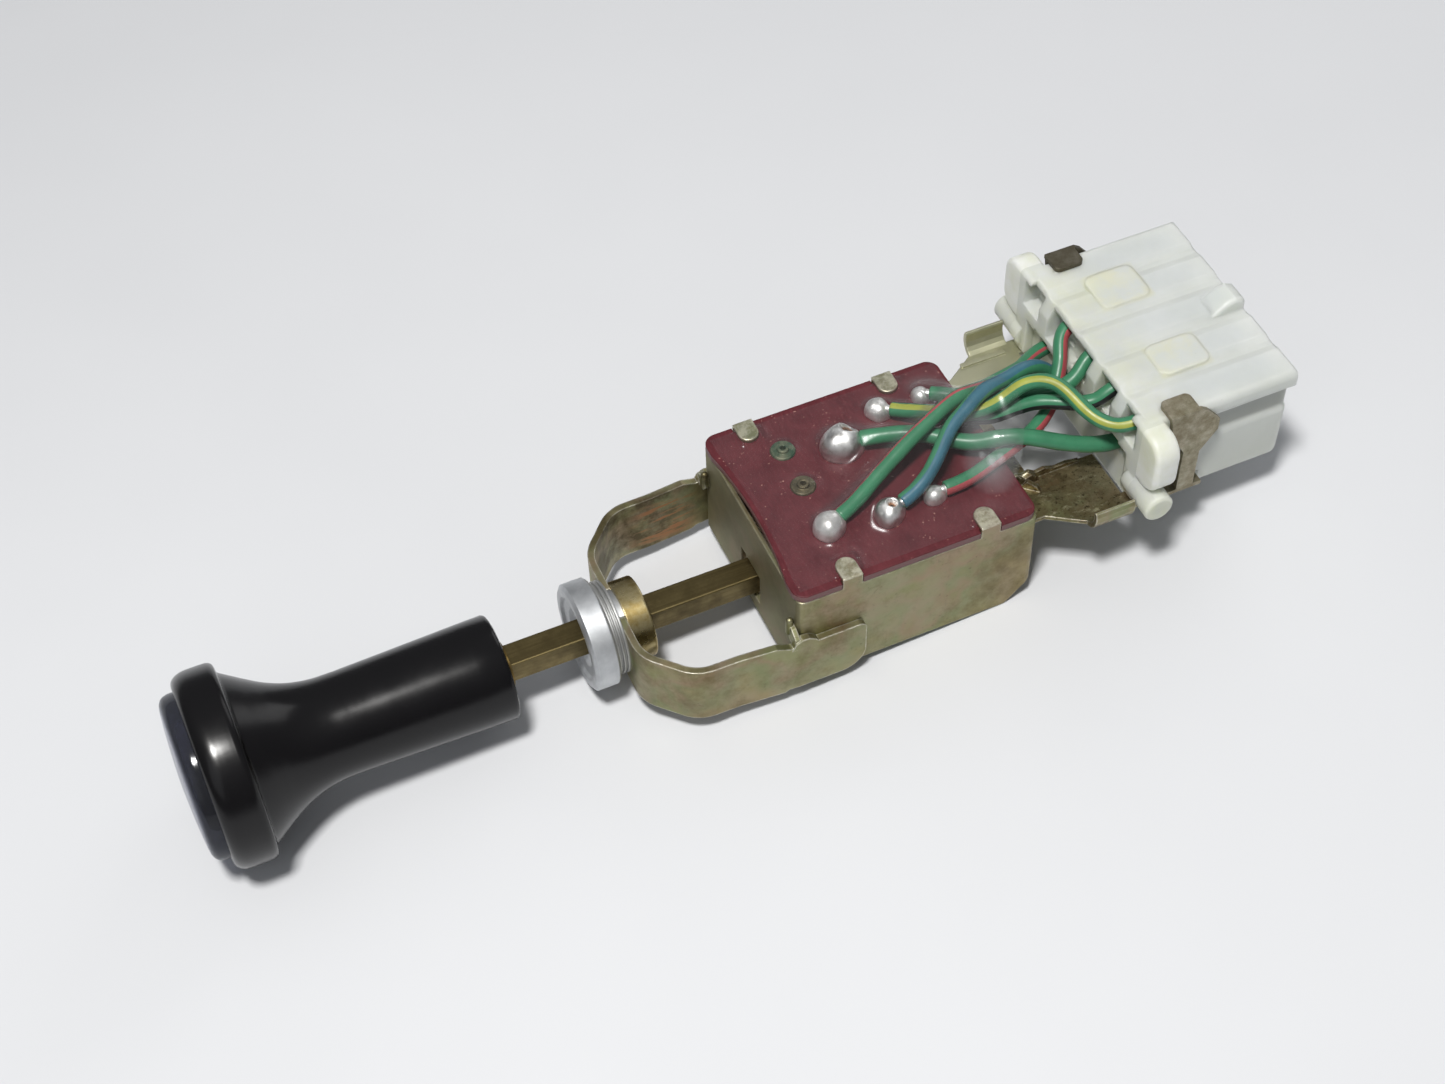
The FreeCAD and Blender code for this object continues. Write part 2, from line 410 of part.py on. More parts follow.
# two raised windows, latch nub
for y0, y1, x0 in ((5.6, 13.4, 91.0), (-11.2, -4.4, 92.0)):
    w = box(x0, x0 + 9.0, y0, y1, HSG_TOP - 1.0, HSG_TOP + 0.2)
    w = round_edges(w, 1.6, lambda e: along(e, (0, 0, 1)))
    hsg = hsg.fuse(w)
nub = prism([(105.6, -3.2, HSG_TOP - 0.5), (HSG_XU, -3.2, HSG_TOP - 0.5), (HSG_XU, -3.2, HSG_TOP + 1.5), (110.2, -3.2, HSG_TOP + 2.2), (108.6, -3.2, HSG_TOP + 1.7), (107.0, -3.2, HSG_TOP + 0.7)], (0, 4.6, 0))
nub = round_edges(nub, 0.7, lambda e: abs(e.CenterOfMass.y + 0.9) > 1.5 and e.CenterOfMass.z > HSG_TOP + 0.6)
hsg = hsg.fuse(nub)
# side lobes and pegs of the flange
for s in (-1, 1):
    lobe = box(HSG_X0, 87.5, min(s * 16.4, s * 25.0), max(s * 16.4, s * 25.0), 16.6, 27.9)
    lobe = round_edges(lobe, 3.6, lambda e: along(e, (1, 0, 0)) and abs(e.CenterOfMass.y) > 20)
    lobe = round_edges(lobe, 0.8, lambda e: abs(e.CenterOfMass.y) > 21.0 and not along(e, (1, 0, 0)))
    hsg = hsg.fuse(lobe)
    foot = box(HSG_X0, 86.6, min(s * 16.4, s * 19.6), max(s * 16.4, s * 19.6), 11.2, 19.0)
    hsg = hsg.fuse(foot)
    peg = cyly(2.55, HSG_X0 + 1.5, 14.2, min(s * 17.5, s * 25.6), max(s * 17.5, s * 25.6))
    peg = round_edges(peg, 0.6, lambda e: abs(e.CenterOfMass.y) > 25)
    hsg = hsg.fuse(peg)
for j in range(-2, 3):
    y = j * PITCH
    hsg = hsg.cut(box(HSG_X0 - 1, HSG_XL + 1, y - CAV_W / 2, y + CAV_W / 2, UP_Z - CAV_H / 2, UP_Z + CAV_H / 2))
    hsg = hsg.cut(box(HSG_X0 - 1, HSG_X0 + 3.0, y - 2.5, y + 2.5, UP_Z - 3.4, UP_Z + CAV_H / 2))
    if j == 1:
        hsg = hsg.cut(box(HSG_X0 - 1, HSG_X0 + 2.6, y - 5.4, y + 2.5, UP_Z - 4.5, UP_Z + CAV_H / 2))
for j in (-1.5, -0.5, 0.5, 1.5):
    y = j * PITCH
    hsg = hsg.cut(box(HSG_X0 - 1, HSG_XL + 1, y - CAV_W / 2, y + CAV_W / 2, LO_Z - CAV_H / 2, LO_Z + CAV_H / 2))
    hsg = hsg.cut(box(HSG_X0 - 1, HSG_X0 + 2.0, y - CAV_W / 2, y + CAV_W / 2, LO_Z, LO_Z + 2.9))
    hsg = hsg.cut(box(HSG_X0 + 9, HSG_XL + 1, y - CAV_W / 2, y + CAV_W / 2, 11.1 - CAV_H / 2, 11.1 + CAV_H / 2))
parts["connector_housing"] = one(hsg)

# ---- socket terminals crimped on the wires ----
for k, (nm, (r, pts)) in enumerate(WIRES.items(), 1):
    x, y, z = pts[-1]
    s = box(x + 0.4, SOCK_X1, y - 1.9, y + 1.9, z - 1.5, z + 1.5)
    s = s.cut(box(x + 6.5, SOCK_X1 + 1, y - 1.5, y + 1.5, z - 1.1, z + 1.1))
    s = s.cut(box(x - 1, x + 4.5, y - 3, y + 3, z + 0.4, z + 2))
    parts["socket_%d" % k] = s

os.makedirs("parts", exist_ok=True)
for nm, sh in parts.items():
    if not sh.isValid():
        print("INVALID", nm)
    if len(sh.Solids) != 1:
        print("SOLIDS", nm, len(sh.Solids))
    sh.exportStep("parts/%s.step" % nm)
print(len(parts), "parts")
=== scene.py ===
import bpy
import bmesh
import math
import random
import numpy as np
from mathutils import Vector, Matrix


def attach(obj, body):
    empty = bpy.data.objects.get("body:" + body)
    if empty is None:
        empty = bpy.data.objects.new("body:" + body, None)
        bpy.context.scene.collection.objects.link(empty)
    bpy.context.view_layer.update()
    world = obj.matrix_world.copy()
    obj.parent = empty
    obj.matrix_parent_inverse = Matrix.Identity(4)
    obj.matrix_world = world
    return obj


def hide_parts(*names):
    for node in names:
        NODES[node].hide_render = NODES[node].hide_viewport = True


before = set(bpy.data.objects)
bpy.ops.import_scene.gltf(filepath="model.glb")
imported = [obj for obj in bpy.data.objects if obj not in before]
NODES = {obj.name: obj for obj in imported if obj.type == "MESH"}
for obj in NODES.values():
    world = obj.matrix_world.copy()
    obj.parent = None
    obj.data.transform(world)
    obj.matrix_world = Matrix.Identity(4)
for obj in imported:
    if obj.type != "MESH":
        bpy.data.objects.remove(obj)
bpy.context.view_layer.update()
MM = 0.001
random.seed(7)

# ---------------------------------------------------------------- camera
def make_camera():
    az, el, roll = math.radians(-22.444), math.radians(50.959), math.radians(-1.935)
    dist, f_px, tx, ty = 379.617, 2281.78, -1.295 + 24.5, 8.401
    back = Vector((math.sin(az) * math.cos(el), -math.cos(az) * math.cos(el), math.sin(el)))
    right = Vector((math.cos(az), math.sin(az), 0))
    up = back.cross(right)
    r2 = math.cos(roll) * right + math.sin(roll) * up
    u2 = -math.sin(roll) * right + math.cos(roll) * up
    loc = (Vector((tx, ty, 0)) + back * dist) * MM
    m = Matrix(((r2.x, u2.x, back.x, loc.x), (r2.y, u2.y, back.y, loc.y), (r2.z, u2.z, back.z, loc.z), (0, 0, 0, 1)))
    cam = bpy.data.cameras.new("camera")
    cam.sensor_width = 36.0
    cam.sensor_fit = "HORIZONTAL"
    cam.lens = f_px / 1445.0 * 36.0
    cam.clip_start = 0.01
    cam.clip_end = 20
    cam.dof.use_dof = False
    ob = bpy.data.objects.new("camera", cam)
    bpy.context.scene.collection.objects.link(ob)
    ob.matrix_world = m
    bpy.context.scene.camera = ob
    return ob


camera = make_camera()


# ---------------------------------------------------------------- node helpers
class M:
    """A small wrapper that keeps material code short."""

    def __init__(self, name):
        self.m = bpy.data.materials.new(name)
        self.m.use_nodes = True
        self.nt = self.m.node_tree
        self.nt.nodes.clear()
        self.out = self.nt.nodes.new("ShaderNodeOutputMaterial")
        self.b = self.nt.nodes.new("ShaderNodeBsdfPrincipled")
        self.nt.links.new(self.b.outputs[0], self.out.inputs[0])
        tc = self.nt.nodes.new("ShaderNodeTexCoord")
        self.obj = tc.outputs["Object"]
        self._sep = None

    def n(self, kind, **kw):
        nd = self.nt.nodes.new(kind)
        for k, v in kw.items():
            setattr(nd, k, v)
        return nd

    def put(self, sock, v):
        if isinstance(v, bpy.types.NodeSocket):
            self.nt.links.new(v, sock)
        elif isinstance(v, (tuple, list)) and len(v) == 3 and sock.type == "RGBA":
            sock.default_value = (*v, 1)
        else:
            sock.default_value = v

    def set(self, **kw):
        names = {"color": "Base Color", "rough": "Roughness", "metal": "Metallic", "normal": "Normal", "spec": "Specular IOR Level",
                 "coat": "Coat Weight", "coat_rough": "Coat Roughness", "sss": "Subsurface Weight", "sss_scale": "Subsurface Scale",
                 "trans": "Transmission Weight", "ior": "IOR", "alpha": "Alpha", "sheen": "Sheen Weight"}
        for k, v in kw.items():
            self.put(self.b.inputs[names[k]], v)
        return self

    def mapped(self, scale=(1, 1, 1), loc=(0, 0, 0), rot=(0, 0, 0), src=None):
        mp = self.n("ShaderNodeMapping")
        self.put(mp.inputs[0], src or self.obj)
        mp.inputs["Location"].default_value = loc
        mp.inputs["Rotation"].default_value = rot
        mp.inputs["Scale"].default_value = scale
        return mp.outputs[0]

    def noise(self, scale, detail=3, rough=0.55, vec=None, dist=0.0, out=0):
        t = self.n("ShaderNodeTexNoise")
        self.put(t.inputs["Vector"], vec or self.obj)
        t.inputs["Scale"].default_value = scale
        t.inputs["Detail"].default_value = detail
        t.inputs["Roughness"].default_value = rough
        t.inputs["Distortion"].default_value = dist
        return t.outputs[out]

    def voro(self, scale, feature="F1", vec=None, rnd=1.0, out="Distance"):
        t = self.n("ShaderNodeTexVoronoi", feature=feature)
        self.put(t.inputs["Vector"], vec or self.obj)
        t.inputs["Scale"].default_value = scale
        t.inputs["Randomness"].default_value = rnd
        return t.outputs[out]

    def ramp(self, v, *stops, mode="LINEAR"):
        r = self.n("ShaderNodeValToRGB")
        r.color_ramp.interpolation = mode
        self.put(r.inputs[0], v)
        els = r.color_ramp.elements
        while len(els) < len(stops):
            els.new(0.5)
        for e, (p, c) in zip(els, stops):
            e.position = p
            e.color = (c, c, c, 1) if isinstance(c, (int, float)) else (*c, 1)
        return r.outputs[0]

    def mix(self, fac, a, b, mode="MIX"):
        x = self.n("ShaderNodeMix", data_type="RGBA", blend_type=mode)
        self.put(x.inputs[0], fac)
        self.put(x.inputs[6], a)
        self.put(x.inputs[7], b)
        return x.outputs[2]

    def math(self, op, a, b=0.0, c=0.0, clamp=False):
        x = self.n("ShaderNodeMath", operation=op, use_clamp=clamp)
        self.put(x.inputs[0], a)
        self.put(x.inputs[1], b)
        self.put(x.inputs[2], c)
        return x.outputs[0]

    def xyz(self):
        if self._sep is None:
            s = self.n("ShaderNodeSeparateXYZ")
            self.put(s.inputs[0], self.obj)
            self._sep = s.outputs
        return self._sep

    def band(self, sock, a, b, soft=0.0003):
        """1 inside a..b (metres), soft edges."""
        lo = self.math("MULTIPLY_ADD", sock, 1 / soft, -a / soft + 0.5, True)
        hi = self.math("MULTIPLY_ADD", sock, -1 / soft, b / soft + 0.5, True)
        return self.math("MULTIPLY", lo, hi)

    def bump(self, h, strength=0.3, dist=0.0001, normal=None):
        b = self.n("ShaderNodeBump")
        b.inputs["Strength"].default_value = strength
        b.inputs["Distance"].default_value = dist
        self.put(b.inputs["Height"], h)
        if normal is not None:
            self.put(b.inputs["Normal"], normal)
        return b.outputs[0]

    def bevel(self, r=0.0002):
        b = self.n("ShaderNodeBevel")
        b.samples = 6
        b.inputs["Radius"].default_value = r
        return b.outputs[0]

    def edge(self, r=0.0004):
        """0 on flats, towards 1 at edges."""
        bv = self.bevel(r)
        g = self.n("ShaderNodeNewGeometry")
        d = self.n("ShaderNodeVectorMath", operation="DOT_PRODUCT")
        self.put(d.inputs[0], bv)
        self.put(d.inputs[1], g.outputs["Normal"])
        return self.math("MULTIPLY_ADD", d.outputs["Value"], -6.0, 6.0, True)


def zinc(name, clips=False, rust=False, wall=False):
    m = M(name)
    n1 = m.noise(55, 3, 0.6)
    n2 = m.noise(130, 4, 0.6, m.mapped(loc=(3, 1, 5)))
    base = m.ramp(n1, (0.30, (0.36, 0.33, 0.19)), (0.42, (0.47, 0.44, 0.27)), (0.50, (0.37, 0.41, 0.26)), (0.56, (0.46, 0.38, 0.29)), (0.63, (0.40, 0.43, 0.25)), (0.74, (0.33, 0.31, 0.20)))
    base = m.mix(m.ramp(n2, (0.42, 0.0), (0.62, 0.5)), base, (0.50, 0.48, 0.40))
    tint = m.ramp(m.noise(70, 3, 0.5, m.mapped(loc=(6, 3, 8))), (0.35, (0.95, 1.02, 0.95)), (0.5, (1.0, 1.0, 1.0)), (0.62, (1.05, 0.94, 0.98)))
    base = m.mix(0.8, base, tint, "MULTIPLY")
    # dirt: fine dark specks and soft brown clouds
    sp = m.noise(1500, 3, 0.7)
    cl = m.noise(210, 4, 0.65, m.mapped(loc=(9, 2, 4)))
    dirt = m.math("MULTIPLY", m.ramp(sp, (0.57, 0.0), (0.72, 0.8)), m.ramp(cl, (0.46, 0.0), (0.66, 0.8)))
    base = m.mix(dirt, base, (0.10, 0.075, 0.04))
    cloud = m.ramp(m.noise(95, 5, 0.7, m.mapped(loc=(1, 7, 2))), (0.47, 0.0), (0.68, 0.72))
    base = m.mix(cloud, base, (0.20, 0.16, 0.08))
    base = m.mix(1.0, base, (0.68, 0.65, 0.53), "MULTIPLY")
    wear = m.math("MULTIPLY", m.edge(0.00045), m.ramp(m.noise(700, 3, 0.6), (0.35, 0.3), (0.6, 1.0)))
    base = m.mix(m.math("MULTIPLY", wear, 0.9), base, (0.82, 0.80, 0.70))
    X, Y, Z = m.xyz()[0], m.xyz()[1], m.xyz()[2]
    rough = m.ramp(cl, (0.3, 0.36), (0.7, 0.55))
    if wall:
        # duller front wall, bright worn tabs over the board
        front = m.math("MULTIPLY", m.band(X, 0.0235, 0.0249, 0.0002), 1.0)
        base = m.mix(m.math("MULTIPLY", front, 0.62), base, (0.19, 0.175, 0.115))
        rough = m.math("MAXIMUM", rough, m.math("MULTIPLY", front, 0.62))
        tab = m.math("MULTIPLY", m.math("GREATER_THAN", Z, 0.0156), m.ramp(m.noise(520, 4, 0.7, m.mapped(loc=(2, 2, 7))), (0.38, 0.15), (0.58, 1.0)))
        base = m.mix(m.math("MULTIPLY", tab, 0.75), base, (0.74, 0.72, 0.58))
    rough = m.math("MAXIMUM", rough, m.math("MULTIPLY", dirt, 0.75))
    metal = m.math("SUBTRACT", 0.9, m.math("MULTIPLY", dirt, 0.6))
    if rust:
        # scratched rusty patch inside the far arm
        a = m.math("MULTIPLY", m.band(X, 0.0115, 0.0215, 0.004), m.band(Y, 0.0150, 0.0186, 0.0008))
        a = m.math("MULTIPLY", a, m.band(Z, -0.006, 0.0035, 0.002))
        st = m.noise(420, 4, 0.7, m.mapped(scale=(0.25, 1, 1.9), rot=(0, -0.75, 0)))
        rs = m.math("MULTIPLY", a, m.ramp(st, (0.50, 0.0), (0.58, 0.85)))
        base = m.mix(rs, base, (0.34, 0.125, 0.035))
        dk = m.math("MULTIPLY", m.math("MULTIPLY", m.band(X, 0.002, 0.026, 0.005), m.band(Y, 0.0120, 0.0186, 0.0015)), m.ramp(m.noise(160, 5, 0.7, m.mapped(loc=(4, 4, 1))), (0.38, 0.0), (0.56, 0.85)))
        base = m.mix(m.math("MULTIPLY", dk, m.math("SUBTRACT", 1.0, rs)), base, (0.085, 0.065, 0.03))
        rough = m.math("MAXIMUM", rough, m.math("MULTIPLY", m.math("MAXIMUM", rs, dk), 0.6))
        metal = m.math("MINIMUM", metal, m.math("SUBTRACT", 1.0, m.math("MULTIPLY", rs, 0.8)))
    if clips:
        # the clips at the plug are dull and grey brown
        c = m.math("GREATER_THAN", X, 0.0868)
        cc = m.ramp(m.noise(420, 5, 0.7), (0.35, (0.19, 0.155, 0.10)), (0.5, (0.28, 0.25, 0.18)), (0.66, (0.42, 0.39, 0.31)))
        base = m.mix(m.math("MULTIPLY", c, 0.85), base, cc)
        # painted shade: the far clip is darkened as a whole
        far_clip_painted_shade = m.math("MULTIPLY", c, m.math("GREATER_THAN", Y, 0.0))
        base = m.mix(m.math("MULTIPLY", far_clip_painted_shade, 0.72), base, (0.055, 0.048, 0.034))
        # mottled brown grime, dark specks and light scratches on the near plate
        npl = m.math("MULTIPLY", m.band(X, 0.0660, 0.0866, 0.002), m.math("LESS_THAN", Y, 0.004))
        npl = m.math("MULTIPLY", npl, m.math("LESS_THAN", Z, 0.0118))
        mo = m.noise(330, 6, 0.8, m.mapped(loc=(3, 8, 1)))
        base = m.mix(m.math("MULTIPLY", npl, m.ramp(mo, (0.40, 0.0), (0.60, 0.8))), base, (0.17, 0.125, 0.065))
        base = m.mix(m.math("MULTIPLY", npl, m.ramp(m.noise(1500, 4, 0.75, m.mapped(loc=(1, 3, 9))), (0.56, 0.0), (0.66, 0.9))), base, (0.035, 0.022, 0.010))
        base = m.mix(m.math("MULTIPLY", npl, m.ramp(m.noise(800, 4, 0.75, m.mapped(scale=(0.5, 1, 1), rot=(0, 0, 0.7), loc=(7, 3, 2))), (0.57, 0.0), (0.68, 0.8))), base, (0.60, 0.55, 0.36))
        # the far lip and plate are cleaner and brighter
        lipm = m.math("MULTIPLY", m.band(X, 0.0665, 0.0865, 0.002), m.band(Y, 0.0120, 0.0300, 0.003))
        base = m.mix(m.math("MULTIPLY", lipm, 0.75), base, (0.60, 0.60, 0.44))
        rough = m.math("MAXIMUM", rough, m.math("MULTIPLY", c, 0.5))
        # grime round the torn fold at the board edge
        g = m.math("MULTIPLY", m.band(X, 0.0665, 0.076, 0.003), m.band(Y, -0.0125, 0.004, 0.003))
        g = m.math("MULTIPLY", g, m.ramp(m.noise(330, 5, 0.75), (0.42, 0.0), (0.55, 1.0)))
        base = m.mix(m.math("MULTIPLY", g, 0.85), base, (0.105, 0.072, 0.034))
        rough = m.math("MAXIMUM", rough, m.math("MULTIPLY", g, 0.7))
    streak = m.noise(900, 2, 0.5, m.mapped(scale=(0.05, 1, 1)))
    h = m.math("ADD", m.math("MULTIPLY", streak, 0.35), m.math("MULTIPLY", sp, 0.5))
    m.set(color=base, rough=rough, metal=metal, normal=m.bump(h, 0.35, 0.00005, m.bevel(0.00022)))
    return m.m


def brass_bar():
    m = M("drawn_brass")
    streak = m.noise(1300, 3, 0.6, m.mapped(scale=(0.03, 1, 1)))
    blot = m.noise(240, 4, 0.65)
    c = m.ramp(streak, (0.3, (0.135, 0.104, 0.046)), (0.6, (0.205, 0.160, 0.072)))
    c = m.mix(m.ramp(blot, (0.42, 0.0), (0.68, 0.8)), c, (0.085, 0.066, 0.030))
    c = m.mix(m.math("MULTIPLY", m.edge(0.0004), 0.6), c, (0.50, 0.40, 0.20))
    m.set(color=c, metal=1.0, rough=m.ramp(blot, (0.3, 0.34), (0.7, 0.52)), normal=m.bump(streak, 0.4, 0.00004, m.bevel(0.0002)))
    return m.m


def turned_aluminium():
    m = M("turned_aluminium")
    X, Y, Z = m.xyz()[0], m.xyz()[1], m.xyz()[2]
    r = m.math("SQRT", m.math("ADD", m.math("MULTIPLY", Y, Y), m.math("MULTIPLY", Z, Z)))
    s = m.math("ADD", r, X)
    cv = m.n("ShaderNodeCombineXYZ")
    m.put(cv.inputs[0], s)
    ring = m.noise(5200, 2, 0.6, cv.outputs[0])
    blot = m.noise(260, 4, 0.6)
    c = m.ramp(blot, (0.35, (0.47, 0.485, 0.50)), (0.65, (0.60, 0.615, 0.63)))
    groove = m.band(X, -0.0021, 0.0004, 0.0004)
    c = m.mix(m.math("MULTIPLY", groove, 0.5), c, (0.40, 0.39, 0.36))
    m.set(color=c, metal=0.9, rough=m.ramp(ring, (0.3, 0.42), (0.7, 0.56)), normal=m.bump(m.math("ADD", m.math("MULTIPLY", ring, 0.5), m.math("MULTIPLY", m.noise(900, 4, 0.6), 0.5)), 0.3, 0.00004, m.bevel(0.0003)))
    return m.m


def bush_gold():
    m = M("bush_passivated")
    n = m.noise(150, 5, 0.7)
    c = m.ramp(n, (0.30, (0.16, 0.115, 0.04)), (0.44, (0.40, 0.30, 0.12)), (0.56, (0.62, 0.52, 0.28)), (0.72, (0.30, 0.21, 0.08)))
    c = m.mix(m.math("MULTIPLY", m.edge(0.0004), 0.6), c, (0.75, 0.72, 0.56))
    m.set(color=c, metal=1.0, rough=m.ramp(n, (0.3, 0.38), (0.65, 0.24)), normal=m.bump(m.noise(900, 3, 0.6), 0.3, 0.00005, m.bevel(0.0003)))
    return m.m


def board_mat():
    m = M("phenolic_laminate")
    Z = m.xyz()[2]
    n = m.noise(190, 5, 0.6)
    c = m.ramp(n, (0.3, (0.066, 0.008, 0.012)), (0.7, (0.100, 0.0145, 0.0195)))
    fib = m.noise(2400, 3, 0.6, m.mapped(scale=(1, 0.25, 1)))
    c = m.mix(m.ramp(fib, (0.45, 0.0), (0.75, 0.3)), c, (0.17, 0.034, 0.044))
    spk = m.ramp(m.noise(1700, 2, 0.5, m.mapped(loc=(5, 5, 5))), (0.70, 0.0), (0.76, 0.8))
    c = m.mix(spk, c, (0.42, 0.22, 0.18))
    side = m.math("LESS_THAN", Z, 0.01495)
    c = m.mix(m.math("MULTIPLY", side, 0.55), c, (0.20, 0.12, 0.115))
    m.set(color=c, rough=m.ramp(n, (0.3, 0.42), (0.7, 0.58)), spec=0.35, normal=m.bump(fib, 0.15, 0.00003, m.bevel(0.0003)))
    return m.m


def solder_mat(name, burnt=None):
    m = M(name)
    n = m.noise(420, 4, 0.6)
    c = m.ramp(n, (0.35, (0.70, 0.69, 0.67)), (0.65, (0.88, 0.88, 0.87)))
    dull = m.ramp(m.noise(900, 4, 0.6, m.mapped(loc=(2, 3, 1))), (0.54, 0.0), (0.70, 0.5))
    c = m.mix(dull, c, (0.40, 0.38, 0.35))
    rough = m.ramp(n, (0.35, 0.34), (0.7, 0.50))
    metal = 0.82
    if burnt:
        x, y, z, r = burnt
        flat = m.mapped(scale=(1, 1, 0))
        d = m.n("ShaderNodeVectorMath", operation="DISTANCE")
        m.put(d.inputs[0], flat)
        d.inputs[1].default_value = (x * MM, y * MM, 0)
        dd = m.math("ADD", d.outputs["Value"], m.math("MULTIPLY", m.noise(1500, 3, 0.6), r * 0.5 * MM))
        core = m.math("MULTIPLY_ADD", dd, -1.0 / (0.35 * r * MM), 1.0 / 0.35 * 1.2, True)
        core2 = m.math("MULTIPLY_ADD", dd, -1.0 / (0.3 * r * MM), 1.0 / 0.3 * 0.75, True)
        c = m.mix(core, c, (0.20, 0.085, 0.03))
        c = m.mix(core2, c, (0.035, 0.014, 0.006))
        rough = m.math("MAXIMUM", rough, m.math("MULTIPLY", core, 0.45))
        metal = m.math("SUBTRACT", 1.0, m.math("MULTIPLY", core, 0.9))
    m.set(color=c, metal=metal, rough=rough, normal=m.bump(m.noise(1100, 3, 0.6), 0.25, 0.00006))
    return m.m


def pvc(name, col, dark=0.72):
    m = M(name)
    n = m.noise(260, 4, 0.6)
    c = m.ramp(n, (0.3, tuple(v * dark for v in col)), (0.7, col))
    spk = m.ramp(m.noise(2100, 3, 0.6), (0.66, 0.0), (0.74, 0.7))
    c = m.mix(spk, c, tuple(v * 0.35 for v in col))
    m.set(color=c, rough=m.ramp(m.noise(500, 3, 0.6), (0.3, 0.32), (0.7, 0.46)), spec=0.45, normal=m.bump(m.noise(1500, 3, 0.5), 0.2, 0.00004))
    return m.m


def nylon():
    m = M("nylon_translucent")
    X, Y, Z = m.xyz()[0], m.xyz()[1], m.xyz()[2]
    n = m.noise(75, 4, 0.6)
    c = m.ramp(n, (0.3, (0.52, 0.545, 0.515)), (0.7, (0.61, 0.63, 0.605)))
    # the socket terminals and the hollows show darker through the barrels
    band = m.n("ShaderNodeMath", operation="PINGPONG")
    m.put(band.inputs[0], m.math("ADD", Y, 0.0039 * 9))
    band.inputs[1].default_value = 0.0039
    deep = m.ramp(m.math("MULTIPLY", band.outputs[0], 1 / 0.0039), (0.15, 0.0), (0.75, 1.0))
    deep = m.math("MULTIPLY", deep, m.band(X, 0.0905, 0.1095, 0.003))
    deep = m.math("MULTIPLY", deep, m.math("GREATER_THAN", Z, 0.0270))
    c = m.mix(m.math("MULTIPLY", deep, 0.30), c, (0.50, 0.55, 0.56))
    # shade where one level stands over the other and near the bracket
    low = m.math("MULTIPLY_ADD", Z, -1 / 0.012, 0.0225 / 0.012, True)
    c = m.mix(m.math("MULTIPLY", low, 0.45), c, (0.46, 0.475, 0.42))
    sl = m.math("MULTIPLY", m.band(Z, 0.0198, 0.0246, 0.0006), m.band(X, 0.0885, 0.1118, 0.001))
    c = m.mix(m.math("MULTIPLY", sl, 0.55), c, (0.22, 0.23, 0.20))
    # bright lobes, greyer pegs
    lob = m.math("MULTIPLY", m.math("GREATER_THAN", m.math("ABSOLUTE", Y), 0.0198), m.math("GREATER_THAN", Z, 0.0168))
    c = m.mix(m.math("MULTIPLY", lob, 0.75), c, (0.74, 0.75, 0.72))
    peg = m.math("MULTIPLY", m.math("GREATER_THAN", m.math("ABSOLUTE", Y), 0.0197), m.math("LESS_THAN", Z, 0.0166))
    c = m.mix(m.math("MULTIPLY", peg, 0.35), c, (0.40, 0.405, 0.39))

    def pad(x0, x1, y0, y1):
        a = m.math("MULTIPLY", m.band(X, x0, x1, 0.0008), m.band(Y, y0, y1, 0.0008))
        return m.math("MULTIPLY", a, m.math("GREATER_THAN", Z, 0.0275))

    w = m.math("MAXIMUM", pad(0.0908, 0.1002, 0.0054, 0.0136), pad(0.0918, 0.1012, -0.0114, -0.0042))
    edge = m.math("MAXIMUM", pad(0.0913, 0.0997, 0.0059, 0.0131), pad(0.0923, 0.1007, -0.0109, -0.0047))
    w2 = m.math("MULTIPLY", w, m.ramp(m.noise(260, 4, 0.65), (0.40, 0.10), (0.66, 0.75)))
    c = m.mix(w2, c, (0.60, 0.60, 0.44))
    c = m.mix(m.math("MULTIPLY", m.math("SUBTRACT", w, edge), 0.5), c, (0.56, 0.56, 0.42))
    # yellow green stain near the wire side
    st = m.math("MULTIPLY", m.band(X, 0.080, 0.0925, 0.006), m.ramp(m.noise(120, 4, 0.65, m.mapped(loc=(1, 4, 2))), (0.38, 0.0), (0.64, 0.6)))
    c = m.mix(st, c, (0.58, 0.60, 0.44))
    dt = m.ramp(m.noise(1900, 4, 0.7), (0.70, 0.0), (0.78, 0.7))
    c = m.mix(m.math("MULTIPLY", dt, m.band(X, 0.080, 0.099, 0.004)), c, (0.16, 0.12, 0.07))
    m.set(color=c, rough=m.ramp(n, (0.3, 0.30), (0.7, 0.46)), spec=0.45, sss=0.85, sss_scale=0.0045, normal=m.bump(m.noise(260, 4, 0.6), 0.22, 0.00018, m.bevel(0.0006)))
    m.b.inputs["Subsurface Radius"].default_value = (1.0, 1.0, 0.92)
    return m.m


def knob_black():
    m = M("knob_gloss_black")
    n = m.noise(180, 4, 0.6)
    scr = m.noise(1600, 3, 0.65, m.mapped(scale=(0.15, 1, 1), rot=(0.3, 0.2, 0.4)))
    dust = m.ramp(m.noise(2600, 3, 0.7), (0.66, 0.0), (0.76, 0.5))
    c = m.mix(dust, (0.0030, 0.0027, 0.0032), (0.02, 0.02, 0.021))
    m.set(color=c, rough=m.ramp(n, (0.3, 0.19), (0.75, 0.27)), spec=0.34, normal=m.bump(m.math("ADD", scr, m.math("MULTIPLY", n, 0.6)), 0.10, 0.00005))
    return m.m


